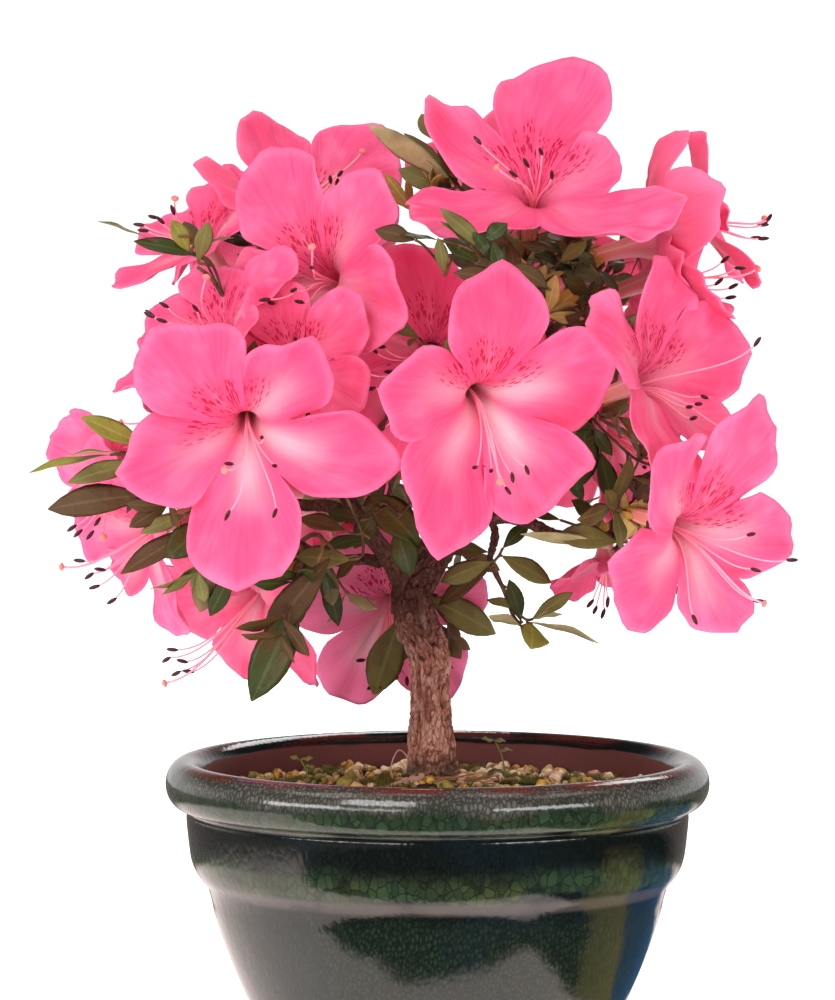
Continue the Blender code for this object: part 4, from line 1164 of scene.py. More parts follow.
def lobeMargin(item, lobe, side, draws):
    # Share of the run where each column ends, a rounded arch above the notch that may be ragged or pointed,
    # and the share where its neighbour's side begins
    lengths = np.array(item["lengths"], float)[lobe]
    skewed = np.clip(side + draws["skew"][lobe] * (1 - side ** 2), -1, 1)
    gaps = draws["gaps"]
    notch = gaps[lobe - 1] + (gaps[lobe] - gaps[lobe - 1]) * (side + 1) / 2
    arch = (1 - np.abs(skewed) ** draws["fullness"][lobe]) ** draws["roundness"][lobe]
    waves = draws["waves"][lobe]
    corners = np.sin(4.5 * side + waves[:, 1]) + 0.45 * np.arcsin(np.sin(8.5 * side + waves[:, 0]))
    ragged = (corners + 0.18 * np.sin(21 * side + waves[:, 2])) * draws["ragged"][lobe]
    margin = notch + (lengths - notch) * arch + arch ** 0.5 * ragged
    point = petalPlan["tip"] * draws["point"][lobe]
    return margin + point * np.exp(-(np.abs(skewed) / 0.2) ** 1.3), notch


def petalRelief(size, rows, share, lobe, side, notch, draws):
    # Height of the surface above its midline's run: ruffles and creases, a groove up the middle, sides that
    # lap over their neighbours', a cupped or bowed lobe and a curled tip
    plan = petalPlan
    waves = draws["waves"][lobe]
    opened = smoothStep(0.5, 1, share)
    nearEdge = 0.25 + 0.75 * np.maximum(np.abs(side), smoothStep(0.75, 1.0, rows)[:, None])
    ruffle = np.sin(4.6 * side + waves[:, 2] + 3.0 * share)
    ruffle = ruffle + 0.5 * np.sin(11 * side + waves[:, 0] + 4 * share)
    crease = np.sin(16 * side + waves[:, 1] + np.sin(5 * share)) * opened * (1.1 - np.abs(side))
    groove = np.exp(-(side / 0.15) ** 2) * smoothStep(0.38, 0.6, share) * (1.2 - share)
    bowl = size * draws["cup"][lobe] * (side ** 2 - 0.35) * smoothStep(0.55, 1.0, share)
    curled = draws["curl"][lobe] * size * smoothStep(0.65, 1.15, share) ** 2
    return (plan["ruffle"] * ruffle * nearEdge ** 1.5 * opened * size / 36 + plan["crease"] * crease
            - plan["groove"] * groove + plan["overlap"] * side * smoothStep(notch, notch + 0.15, share)
            + plan["cup"] * bowl + curled)


def petalZones(item, rows, share, lobe, side, draws):
    # Where the material puts its spots, flare, edge, throat, tube and ribs
    plan = petalPlan
    nearTop = (np.where(lobe == 1, 1 - smoothStep(-0.7, 0.1, side), 0)
               + np.where(lobe == 4, smoothStep(-0.1, 0.7, side), 0))
    begin, full, fading, end = plan["spotSpan"]
    reach = smoothStep(begin, full, share) * (1 - smoothStep(fading, end, share + 0.08 * np.abs(side)))
    midline = 1 - 0.8 * np.exp(-(side / 0.10) ** 2)
    top = (lobe == 0) * midline * (1 - smoothStep(0.55, 0.85, np.abs(side)))
    lower = np.array(plan["whiteByLobe"])[lobe] * (0.6 + 0.6 * draws["lower"][lobe])
    narrow = np.exp(-(np.abs(side) / (0.42 + 0.5 * smoothStep(0.68, 0.34, share))) ** 2)
    begin, full, fading, end = plan["whiteSpan"]
    within = smoothStep(begin, full, share) * (1 - smoothStep(fading, end, share))
    return {
        "spotZone": reach * np.maximum(top, 0.75 * nearTop),
        "flareZone": np.clip(item["flare"] * lower * narrow * within, 0, 1),
        "edgeZone": smoothStep(0.93, 1.0, rows)[:, None] + 0 * share,
        "throatZone": 1 - smoothStep(*plan["throatFade"], share),
        "tubeZone": 1 - smoothStep(*plan["tubeFade"], share),
        "ribZone": np.exp(-(side / plan["ribWidth"]) ** 2) * (1 - smoothStep(*plan["ribFade"], share)),
        # the bloom's tone, which is painted shade on centre_shaded and painted light on low_back_centre,
        # plus a random tone for each lobe
        "tone": item["tone"] + 0.25 * draws["tone"][lobe] + 0 * share,
    }


def corollaSurface(name, item):
    # Columns run round the bloom and rows from foot to margin, on a front and a back that rims join
    plan = petalPlan
    right, up, outward = bloomAxes(item)
    size, perLobe = item["size"], plan["columns"]
    draws = lobeChances(name)
    ring = np.arange(5 * perLobe)
    lobe = ring // perLobe
    side = np.sin(np.pi / 2 * (2 * (ring % perLobe) / perLobe - 1))
    rows = np.concatenate([np.linspace(*plan["tubeSpan"], plan["tubeRows"]),
                           np.linspace(*plan["limbSpan"], plan["limbRows"])])
    margin, notch = lobeMargin(item, lobe, side, draws)
    share = rows[:, None] * margin[None]
    radius, height = np.zeros_like(share), np.zeros_like(share)
    for index in range(5):
        at, radii, heights = petalRun(size, item["lifts"][index])
        chosen = lobe == index
        radius[:, chosen] = np.interp(share[:, chosen], at, radii)
        height[:, chosen] = np.interp(share[:, chosen], at, heights)
    widths, turns = (np.array(item[key], float)[lobe] for key in ("widths", "turns"))
    spread = 1 + (plan["overlapTurn"] + widths - 1) * smoothStep(notch, notch + 0.2, share)
    turn = 36 * side * spread + turns * smoothStep(*plan["lipSpan"], share)
    angle = np.radians(90 + 72 * lobe + turn)
    drift = noise3(np.stack([radius * np.cos(angle) / plan["driftSize"],
                             radius * np.sin(angle) / plan["driftSize"],
                             0 * radius + draws["drift"]], -1), 9) - 0.5
    lift = petalRelief(size, rows, share, lobe, side, notch, draws)
    lift = lift + plan["drift"] * drift * smoothStep(0.5, 1, share)
    spokes = np.cos(angle)[..., None] * right + np.sin(angle)[..., None] * up
    front = (item["throat"] + radius[..., None] * spokes
             + (height - throatHeight(size) + lift)[..., None] * outward)
    around = np.roll(front, -1, 1) - np.roll(front, 1, 1)
    back = front + unit(np.cross(around, np.gradient(front, axis=0))) * plan["thickness"]
    count, columns = share.shape
    total, after, last = count * columns, (ring + 1) % columns, (count - 1) * columns
    grid = gridFaces(count, columns)
    outerRim = np.stack([last + ring, total + last + ring, total + last + after, last + after], -1)
    innerRim = np.stack([ring, after, total + after, total + ring], -1)
    plain = np.radians(90 + 72 * lobe + 36 * side)
    flat = np.stack([share * np.cos(plain), share * np.sin(plain)], -1)
    grain = np.stack([lobe + side / 2 + 0 * share, share], -1)

    def both(first, second):
        return np.concatenate([first.reshape(total, -1), second.reshape(total, -1)])

    zones = petalZones(item, rows, share, lobe, side, draws)
    values = {key: both(zone, zone)[:, 0] for key, zone in zones.items()}
    return {
        "points": both(front, back),
        "quads": np.concatenate([grid[:, ::-1], grid + total, outerRim, innerRim]),
        "tris": np.zeros((0, 3), int),
        "looks": np.zeros(2 * len(grid) + 2 * columns, int),
        "values": {**values, "outside": both(np.zeros_like(share), np.ones_like(share))[:, 0]},
        "maps": {"OFBake": both(0.26 + 0.21 * flat, 0.74 + 0.21 * flat), "petalPlan": both(flat, flat),
                 "petalGrain": both(grain, grain)},
    }


def petalMaterial():
    # Pink with fine veins along the lobes, a pale flare up their middles, and rows of dark dots at the top
    plan = petalPlan
    material, tree, shader = newMaterial("petals", Roughness=0.5, Specular_IOR_Level=0.25)
    flat = place(tree, uvMap="petalPlan")
    veins = grains(place(tree, (30, 2.2, 1), "petalGrain"), 1.0, 4, 0.62)
    fineVeins = grains(place(tree, (75, 3.5, 1), "petalGrain"), 1.0, 2)
    zones = {key: readValue(tree, key + "Zone")
             for key in ("spot", "flare", "edge", "throat", "tube", "rib")}
    tone, outer = readValue(tree, "tone"), readValue(tree, "outside")
    dots = cells(place(tree, (26, 19, 1), "petalGrain"), 1, "F1", Randomness=0.85)
    inDot = rising(cellChance(dots) * 0.34 + 0.2 - dots["Distance"], -0.06, 0.06)
    inside = 1.0 - outer * 0.75
    base = layered(
        plan["pink"],
        (rising(veins, 0.40, 0.72) * 0.42, plan["deepPink"]),
        (rising(grains(flat, 3.2), 0.42, 0.75) * 0.5, plan["palePink"]),
        (rising(fineVeins, 0.56, 0.66) * 0.16, plan["deepPink"]),
        (rising(grains(flat, 1.7, 2), 0.48, 0.66) * 0.28, plan["deepPink"]),
        # deeper or paler pink by the tone: the blooms' own, with painted shade on centre_shaded and painted
        # light on low_back_centre
        (tone, plan["deepPink"]),
        (0.0 - tone, plan["palePink"]),
        (outer * 0.5, plan["outside"]),
        (outer * zones["tube"] * 0.85, plan["tubeFoot"]),
        (outer * zones["rib"] * 0.85, plan["rib"]),
        (zones["edge"] * 0.25, plan["palePink"]),
        (zones["flare"] * ranged(veins, 1.15, 0.75), plan["flareWhite"]),
        (zones["throat"] * (1.0 - outer) * 0.85, plan["throat"]),
        (zones["spot"] * 0.35 * inside, plan["spots"]),
        (inDot * rising(zones["spot"], 0.05, 0.4) * inside, plan["spots"]))
    setInputs(shader, {"Base Color": base})
    addBump(shader, veins, 0.0007, 0.5)
    glow = addNode(tree, "ShaderNodeBsdfTranslucent", {"Color": base})["BSDF"]
    blendShader(material, plan["translucent"], shader, glow)
    return material


def makeBlooms():
    # A funnel for each bloom, as a piece of its own
    material = petalMaterial()
    for name, item in blooms.items():
        addPiece("bloom_" + name, [corollaSurface(name, item)], [material], [item["mass"]])


makeBlooms()
print("blooms are open")


# Stamens: five thread-like filaments and a longer style from each throat

stamenPlan = {
    "filamentRadius": 0.26,
    "styleRadius": 0.36,
    "reach": (0.66, 0.88),  # of the bloom's size
    "styleReach": 0.98,
    "towardCamera": 0.35,  # least share of a thread's length that comes forward
    "antherRadius": 0.58,
    "antherHalfLength": 1.75,
    "fanMiddle": -90,  # degrees round the axis, for threads that the photograph doesn't show
    "fanCentre": 2.2,  # the number of the thread that would hang there
    "fanStep": 20,
    "fanStray": (-10, 10),
    "fanOut": 0.45,  # share of the reach that leads away from the axis
    "fanOutStray": (-0.08, 0.1),
    "start": 0.22,  # below the throat, of the bloom's size
    "bendAt": 0.55,  # of a thread's span: where it heads outward to, and how long its upturn is
    "upturn": 0.25,
    "taper": (1.15, 0.8),
    "stigmaSpan": (-0.3, 1.1),
    "stigmaRadii": (0.3, 0.9, 1.15, 1.1, 0.8, 0.25),
    "filament": colour(255, 150, 172),
    "anther": colour(62, 10, 20),
    "pollen": colour(130, 70, 66),
    "stigma": colour(236, 118, 108),
}


def photoPoint(pixel, depth):
    # Where the camera's ray through a pixel of the photograph meets the upright plane y = depth
    eye, ahead, above = cameraFrame()
    across, down = np.array(pixel) - cameraPlan["photoCentre"]
    ray = ahead * cameraPlan["focalPixels"] + np.array((1, 0, 0)) * across - above * down
    return eye + ray * (depth - eye[1]) / ray[1]


def stamenEnds(item, chance):
    # Five anthers and the stigma: at the photograph's pixels where it shows them, at a depth that their
    # reach from the throat gives, and else fanned out below the bloom's axis
    plan = stamenPlan
    right, up, outward = bloomAxes(item)
    throat, size, tips = item["throat"], item["size"], item["tips"]
    for index in range(6):
        turn = plan["fanMiddle"] + (index - plan["fanCentre"]) * plan["fanStep"]
        turn = 0 if tips else math.radians(turn + chance.uniform(*plan["fanStray"]))
        reach = size * (plan["styleReach"] if index == 5 else chance.uniform(*plan["reach"]))
        if tips:
            pixel = tips[index]
            aside = np.linalg.norm(photoPoint(pixel, throat[1]) - throat)
            ahead = max(math.sqrt(max(reach ** 2 - aside ** 2, 0)), plan["towardCamera"] * reach)
            yield photoPoint(pixel, throat[1] - ahead * abs(outward[1]))
        else:
            aside = reach * (plan["fanOut"] + chance.uniform(*plan["fanOutStray"]))
            away = math.sqrt(reach ** 2 - aside ** 2)
            yield throat + aside * (math.cos(turn) * right + math.sin(turn) * up) + away * outward


def makeStamens():
    # Each thread is a cubic curve from deep in the tube that sags and then turns up at its tip
    plan = stamenPlan
    threads, anthers, stigmas = [], [], []
    t = np.linspace(0, 1, 14)[:, None]
    along = np.linspace(-0.97, 0.97, 7)
    for name, item in blooms.items():
        chance = random.Random(name)
        _, up, outward = bloomAxes(item)
        start = item["throat"] - outward * item["size"] * plan["start"]
        for index, end in enumerate(list(stamenEnds(item, chance))):
            span = np.linalg.norm(end - start)
            bend = start + outward * span * plan["bendAt"]
            turnUp = end - unit(unit(end - bend) * 0.9 + up * 0.55) * span * plan["upturn"]
            path = (start * (1 - t) ** 3 + 3 * bend * t * (1 - t) ** 2 + 3 * turnUp * t ** 2 * (1 - t)
                    + end * t ** 3)
            radius = plan["styleRadius"] if index == 5 else plan["filamentRadius"]
            threads.append(tube(path, radius * np.linspace(*plan["taper"], len(path)), 6))
            tangent = unit(path[-1] - path[-2])
            if index == 5:
                knob = path[-1] + tangent * np.linspace(*plan["stigmaSpan"], 6)[:, None]
                stigmas.append(tube(knob, plan["stigmaRadii"], 8))
            else:
                across = unit(0.35 * np.cross(tangent, up) + 0.6 * chance.uniform(-1, 1) * up + tangent)
                bean = path[-1] + across * (plan["antherHalfLength"] * (along + 0.6))[:, None]
                anthers.append(tube(bean, plan["antherRadius"] * np.sqrt(1 - along ** 2), 8))
    dusted = speckled("anthers", 0.45, (plan["anther"], plan["pollen"]), (900, 2), (0.62, 0.75))
    for name, skins, material in (
            ("filaments", threads, newMaterial("filaments", Roughness=0.4, Base_Color=plan["filament"])[0]),
            ("anthers", anthers, dusted),
            ("stigmas", stigmas, newMaterial("stigmas", Roughness=0.35, Base_Color=plan["stigma"])[0])):
        addPiece(name, skins, [material])


makeStamens()
print("stamens are in place")


# Twigs and leaves: the source's growing rule, carried to finer twigs

masses = {  # the limb whose tip each continues, and its stem's end
    "blossom_top": ("trunk", (17, 1, 213)),
    "blossom_upper_left": ("bough_upper_left", (-34, 2, 207)),
    "blossom_front_left": ("bough_front_left", (-35, -34, 190)),
    "blossom_centre": ("bough_centre", (2, -20, 193)),
    "blossom_upper_right": ("bough_upper_right", (39, 12, 213)),
    "blossom_right": ("bough_right", (27, -20, 179)),
    "blossom_low_right": ("bough_low_right", (49, -18, 154)),
    "leaves_spray": ("bough_spray", (16.5, 3, 139)),
    "blossom_low_left": ("bough_low_left", (-53, -3, 165)),
    "blossom_hanging_left": ("bough_hanging_left", (-40, 1, 148)),
    "blossom_low_back": ("bough_low_back", (-8, 39, 142)),
    "blossom_back_left": ("bough_back_left", (-28, 31, 193)),
    "blossom_back": ("bough_back", (-10, 39, 172)),
    "blossom_back_right": ("bough_back_right", (34, 35, 196)),
}
shoots = (  # mass, tip, the way it points, and for a whorl its leaves, length, spread in degrees and tint
    ("blossom_front_left", (-65.5, -46, 228), (-0.6, -0.5, 0.4)),
    ("blossom_top", (3.5, -10, 247), (-0.7, -0.2, 0.6), 3, 20, 50, "olive"),
    ("blossom_top", (15.5, -41, 228), (-0.6, -0.6, 0.2)),
    ("blossom_top", (24, 22, 231), (0.2, 0.5, 0.5), 4, 20, 60, "olive"),
    ("blossom_upper_right", (41.5, -32, 213), (0.3, -0.6, -0.3), 3, 12, 55, "bronze"),
    ("blossom_low_left", (-83, -56, 172.5), (-1.0, -0.1, 0.1)),
    ("blossom_low_left", (-61, -57, 157), (-0.7, -0.5, -0.5)),
    ("blossom_hanging_left", (-33, -44, 147), (-0.4, -0.1, -0.9)),
    ("blossom_hanging_left", (-41.5, -43, 130), (-0.3, 0.0, -0.95)),
    ("blossom_hanging_left", (-30, -16, 143), (0.1, -0.2, -1.0), 1, 14, 20, "dark"),
    ("blossom_low_back", (-9.5, 13, 125), (-0.4, -0.1, -0.9)),
    ("blossom_low_back", (0, 16, 132), (0.9, -0.1, -0.3)),
    ("blossom_centre", (-11, -22, 166), (0.0, -0.3, -1.0)),
    ("blossom_right", (43, -40, 186), (-0.2, -0.4, -0.9)),
    ("blossom_right", (44, -30, 186), (0.9, -0.3, 0.1), 2, 15, 30, "olive"),
    ("blossom_low_right", (50, -22, 150), (-1.0, -0.1, 0.05)),
    ("blossom_low_right", (51, -19, 148), (0.15, 0.0, -1.0)),
    ("blossom_low_right", (56, -24, 169), (1.0, -0.1, -0.1), 3, 15, 40, "bronze"),
    ("leaves_spray", (15.5, 2, 142), (-0.8, -0.3, -0.6)),
    ("leaves_spray", (19, 1, 136), (0.5, -0.6, 0.1)),
    ("leaves_spray", (23.5, -2, 126.5), (0.3, -0.6, 0.5)),
    ("blossom_back_left", (-50, 46, 200), (-0.5, 0.7, 0.1), 6, 22, 65, "dark"),
    ("blossom_back_left", (-30, 60, 232), (-0.2, 0.6, 0.6), 5, 20, 65, "olive"),
    ("blossom_back", (-18, 62, 168), (-0.2, 0.9, -0.2), 6, 22, 65, "dark"),
    ("blossom_back", (-14, 50, 150), (0.2, 0.6, -0.7), 5, 22, 65, "olive"),
    ("blossom_back_right", (46, 58, 198), (0.5, 0.8, 0.1), 6, 22, 65, "dark"),
    ("blossom_back_right", (22, 66, 196), (-0.1, 0.9, 0.0), 5, 20, 65, "olive"),
)
shownLeaves = (  # mass, depth, and for each leaf where the photograph has its root and its tip, its
    # width in millimetres, how far its upper side turns from the camera in degrees, its tint and how far
    # its tip comes forward
    ("blossom_low_left", -56, (
        ((146, 447), (83, 415), 6.6, 20, "young", 3), ((110, 455), (28, 465), 5, 72, "young", -5),
        ((120, 452), (66, 450), 4, 82, "young", 0), ((145, 462), (68, 476), 6.8, 25, "olive", 4),
        ((150, 495), (49, 502), 9.0, 25, "bronze", 4))),
    ("blossom_low_left", -57, (
        ((185, 515), (141, 530), 5.0, 20, "olive", 3), ((200, 525), (120, 573), 7.4, 30, "bronze", 3),
        ((212, 520), (166, 557), 9.0, 15, "dark", 5), ((222, 555), (190, 585), 6.0, 20, "olive", 3),
        ((215, 560), (200, 612), 8.2, 160, "bronze", 0), ((232, 572), (210, 615), 5.4, 20, "dark", 4))),
    ("blossom_hanging_left", -42, (
        ((330, 558), (262, 640), 9.0, 20, "bronze", 2), ((300, 600), (251, 701), 11.4, 20, "dark", 3))),
    ("blossom_hanging_left", -20, (
        ((322, 568), (341, 625), 5.4, 25, "dark", 2), ((356, 558), (336, 578), 3.4, 30, "bronze", 2))),
    ("blossom_low_back", 10, (
        ((400, 618), (373, 697), 10.4, 15, "olive", -2), ((428, 598), (500, 631), 10, 15, "olive", -4))),
    ("blossom_centre", -24, (
        ((420, 545), (374, 494), 10.8, 25, "dark", 0), ((396, 528), (411, 574), 8.0, 20, "dark", 4),
        ((380, 505), (352, 548), 6.4, 30, "dark", 0), ((360, 520), (328, 512), 5.4, 40, "dark", -2))),
    ("blossom_front_left", -30, (
        ((350, 560), (296, 556), 8.0, 20, "olive", 0), ((345, 530), (300, 516), 6.0, 35, "bronze", 2),
        ((368, 538), (322, 545), 5.0, 30, "dark", 0))),
    ("leaves_spray", 1, (
        ((488, 552), (446, 545), 4.4, 25, "dark", 0), ((492, 562), (440, 579), 6.4, 20, "olive", 1),
        ((490, 568), (436, 602), 5.6, 25, "bronze", 0), ((502, 556), (552, 581), 6.6, 20, "olive", 2),
        ((503, 548), (528, 522), 4.4, 25, "dark", -2))),
    ("leaves_spray", -2, (
        ((521, 621), (510, 580), 5.0, 20, "dark", 2), ((516, 608), (488, 597), 3.2, 30, "olive", 0),
        ((532, 619), (572, 591), 4.2, 25, "olive", 0), ((533, 619), (562, 612), 4.4, 130, "young", -2),
        ((520, 625), (489, 612), 4.4, 140, "young", 3), ((528, 622), (601, 634), 4.8, 120, "young", 3),
        ((532, 624), (533, 647), 9.4, 150, "young", 10))),
    ("blossom_low_right", -22, (
        ((618, 542), (560, 530), 7.6, 25, "olive", 2), ((612, 549), (522, 526), 5.0, 150, "young", 0),
        ((622, 553), (635, 621), 5.6, 25, "dark", 0), ((560, 520), (520, 508), 4.4, 40, "dark", 0),
        ((598, 520), (572, 500), 5.4, 30, "dark", 3), ((600, 515), (618, 478), 5.4, 30, "bronze", 2))),
    ("blossom_top", -12, (
        ((455, 185), (371, 121), 6.8, 160, "young", 0), ((448, 175), (408, 130), 4, 30, "olive", 0),
        ((436, 142), (422, 112), 6.0, 20, "olive", -4), ((457, 187), (440, 135), 4.6, 20, "dark", 4),
        ((484, 186), (446, 166), 4.0, 50, "bronze", 2), ((470, 195), (480, 170), 4.0, 30, "olive", 3))),
    ("blossom_top", -66, (
        ((487, 252), (444, 207), 5.2, 20, "olive", 3), ((470, 245), (441, 220), 2.4, 60, "olive", 2),
        ((437, 240), (398, 231), 3.0, 60, "dark", 0), ((444, 274), (440, 240), 3.8, 20, "olive", 3),
        ((478, 262), (444, 238), 6.0, 30, "dark", 0), ((492, 262), (476, 232), 4.4, 25, "dark", 2),
        ((493, 241), (502, 274), 4.4, 20, "dark", 4), ((512, 280), (455, 271), 5.8, 20, "bronze", 3),
        ((548, 288), (516, 264), 6.2, 30, "bronze", 2), ((415, 240), (376, 227), 6.2, 25, "bronze", 0),
        ((484, 242), (507, 222), 5.2, 30, "dark", -2), ((505, 285), (488, 300), 6.0, 30, "bronze", 2))),
    ("blossom_front_left", -46, (
        ((199, 255), (135, 238), 5.0, 20, "dark", 2), ((147, 238), (100, 216), 2.2, 75, "olive", 0),
        ((190, 252), (172, 220), 5.4, 20, "young", 3), ((198, 262), (208, 223), 5.0, 20, "olive", 3),
        ((199, 243), (234, 236), 2.0, 70, "olive", 0))),
    ("blossom_right", -42, (
        ((588, 420), (577, 489), 9.8, 15, "dark", 3), ((651, 465), (702, 477), 3.0, 55, "olive", 0),
        ((630, 476), (682, 494), 3.2, 55, "olive", 0), ((600, 452), (612, 500), 6.2, 30, "dark", -3))),
    ("blossom_upper_right", -30, (
        ((548, 318), (592, 322), 4.4, 30, "dark", 2), ((560, 262), (585, 240), 5.0, 30, "olive", 0))),
)
budScales = (  # mass, depth, root, tips, width
    ("blossom_top", -12, (432, 192), ((420, 156), (432, 166), (441, 170), (426, 174)), 3.4),
    ("blossom_top", -10, (414, 212), ((383, 172), (380, 182), (404, 178), (396, 190)), 3.2),
    ("blossom_upper_right", -36, (545, 316),
     ((584, 285), (576, 300), (560, 274), (552, 284), (584, 318)), 5.0),
    ("blossom_upper_right", -26, (532, 290), ((512, 252), (524, 256), (545, 262), (560, 268)), 4.0),
    ("blossom_low_right", -32, (622, 543),
     ((611, 500), (627, 486), (642, 496), (648, 518), (634, 500)), 5.4),
)
twigPlan = {
    "radius": 0.85,
    "shootRadius": 0.5,
    "petioleRadius": 0.4,
    "fineRadius": 0.45,
    "fineTwigs": 16,  # of each mass, their length, and the leaves at the end of each
    "fineLength": (8, 18),
    "fineLeaves": (2, 4),
    "fineLeafLength": (8, 14),
    "fineSpread": 60,
    "fineTip": 0.3,
    "fineStray": 0.8,  # of its heading, and how strongly it leads out of the crown
    "outPull": 0.7,
    "bloomRadius": 0.8,  # at a bloom's foot
    "wander": 1.2,  # how far a twig strays, and over what length
    "wanderSize": 6.0,
    "shortTwig": 14,
    "sweep": 0.35,
    "stemPull": 0.4,
    "heart": (0, 0, 165.0),  # of the crown, which fine twigs grow away from
    "bark": colour(78, 44, 28),
    "green": colour(112, 84, 48),
}
leafPlan = {
    "width": 0.40,
    "thickness": 0.35,
    "widest": 0.56,
    "droop": 0.13,  # of its length, and how much of that a leaf may have
    "droopShare": (0.2, 1.5),
    "fold": 0.16,
    "foldShare": (0.3, 1.6),
    "twist": (-0.35, 0.35),
    "wave": 0.4,
    "whorlShare": 0.7,
    "goldenTurn": 137.5,
    "turnOn": 40,  # degrees, where petals are in the way
    "turnStray": (-25, 25),
    "spreadShare": (0.6, 1.0),
    "tries": 5,
    "clearOfPetals": 1.6,
    "ownWhorl": 4,  # leaves under each bloom, and their length
    "ownLength": (11, 17),
    "ownSpread": 75,
    "ownDrop": (2, 0.8),  # millimetres below the bloom's foot, and from leaf to leaf
    "scaleLength": (6, 10),
    "rows": 9,
    "sides": 8,
    "tints": {  # upper side, lower side, midrib
        "dark": (colour(54, 62, 24), colour(112, 108, 72), colour(80, 86, 42)),
        "olive": (colour(112, 104, 52), colour(146, 132, 90), colour(130, 120, 66)),
        "bronze": (colour(84, 58, 29), colour(124, 98, 66), colour(108, 82, 48)),
        "young": (colour(136, 132, 52), colour(176, 160, 116), colour(166, 156, 84)),
        "bud": (colour(164, 120, 44), colour(186, 150, 84), colour(196, 160, 84)),
    },
    "brown": colour(96, 54, 22),
}


def limbTip(name):
    # Where a limb ends, and the way it points there
    points = trunkPath if name == "trunk" else boughPaths[name][3]
    path = curveThrough(np.array(points, float)[:, :3], 2)
    return path[-1], unit(path[-1] - path[-2])


def bezier(start, direction, end, arrival, steps):
    # A cubic that leaves along one direction and arrives along another
    sweep = np.linalg.norm(end - start) * twigPlan["sweep"]
    t = np.linspace(0, 1, steps + 1)[:, None]
    return (start * (1 - t) ** 3 + 3 * (start + direction * sweep) * t * (1 - t) ** 2
            + 3 * (end - arrival * sweep) * t * t * (1 - t) + end * t ** 3)


def petalGap(points):
    # The least distance along a bloom's axis between any point and any funnel that it is within
    least = np.full(len(points), 99.0)
    for item in blooms.values():
        outward = bloomAxes(item)[2]
        at, radii, heights = petalRun(item["size"], item["lifts"][0])
        offset = points - item["throat"]
        along = offset @ outward
        away = np.linalg.norm(offset - along[:, None] * outward, axis=1)
        surface = np.interp(away, radii, heights - np.interp(petalPlan["throatAt"], at, heights))
        within = away < radii[petalPlan["steps"]] + 1
        least = np.minimum(least, np.where(within, np.abs(along - surface), 99.0))
    return least


def leafSkin(root, direction, face, length, chance, width=None):
    # Rings across a leaf: its half-width is an arch along its length, it folds up at the midrib and droops
    plan = leafPlan
    side = unit(np.cross(face, direction))
    face = np.cross(direction, side)
    v = np.linspace(0.0, 1, plan["rows"])[:, None]
    turn = np.linspace(0, 2 * np.pi, plan["sides"], endpoint=False)[None]
    u = np.cos(turn)
    arch = np.sin(np.pi * v ** (math.log(0.5) / math.log(plan["widest"]))) ** 0.8
    half = (width or length * plan["width"]) / 2 * np.maximum(arch, 0.05)
    thick = plan["thickness"] / 2 * np.sin(turn) * np.maximum(arch, 0.3) ** 0.5
    droop = plan["droop"] * chance.uniform(*plan["droopShare"]) * length
    fold = plan["fold"] * chance.uniform(*plan["foldShare"])
    twist = chance.uniform(*plan["twist"])
    wave = plan["wave"] * np.sin(9 * v + chance.uniform(0, 6)) * np.abs(u) * arch
    rise = fold * np.abs(u) * half - droop * v ** 2 + thick + wave + twist * u * half * v
    flat = root + (length * v)[..., None] * direction + (u * half)[..., None] * side
    rings = flat + rise[..., None] * face
    looks = np.where(np.sin(turn[0] + np.pi / plan["sides"]) > 0, 0, 1)
    return closedRings(rings, columnLooks=looks, maps={"leafPlan": np.stack([u + 0 * v, v + 0 * u], -1)})


twigs = []
leaves = {tint: [] for tint in leafPlan["tints"]}


def startMass(mass):
    # The stem that continues a limb, and the nodes on it that bear twigs: place, heading and radius
    limb, end = masses[mass]
    tip, direction = limbTip(limb)
    foot, radius = trunkPath[-1][3] if limb == "trunk" else boughPaths[limb][2], twigPlan["radius"]
    middle = (tip + np.array(end, float)) / 2 + direction * 0.8
    stem = curveThrough([tip - direction * 1.5, tip + direction * 1.5, middle, end], 4)
    twigs.append(tube(stem, np.linspace(foot, radius, len(stem)), 8))
    return [(stem[4], direction, foot), (stem[8], unit(stem[9] - stem[7]), foot * 0.8),
            (stem[-1], unit(stem[-1] - stem[-2]), radius)]


def growTwig(nodes, goal, arrival, tipRadius, thickest=twigPlan["radius"]):
    # A wandering twig from the node that is best placed near the goal and the limb; it adds its own nodes,
    # and a place near its end is returned

    def cost(node):
        return np.linalg.norm(goal - node[0]) + twigPlan["stemPull"] * np.linalg.norm(node[0] - nodes[0][0])

    start, heading, thickness = min(nodes, key=cost)
    steps = 2 if np.linalg.norm(goal - start) < twigPlan["shortTwig"] else 3
    path = bezier(start, unit(heading + unit(goal - start)), goal, arrival, steps * 4)
    wander = noise3(path / twigPlan["wanderSize"], 17)[:, None] - 0.5
    middle = np.sin(np.linspace(0, np.pi, len(path)))[:, None]
    path = path + twigPlan["wander"] * wander * middle * (0.6, 0.5, 0.6)
    radii = np.linspace(min(thickest, thickness), tipRadius, len(path))
    twigs.append(tube(path, radii, 7))
    for at in range(4, 4 * steps, 4):
        nodes.append((path[at], unit(path[at + 1] - path[at]), radii[at]))
    return path[-5]


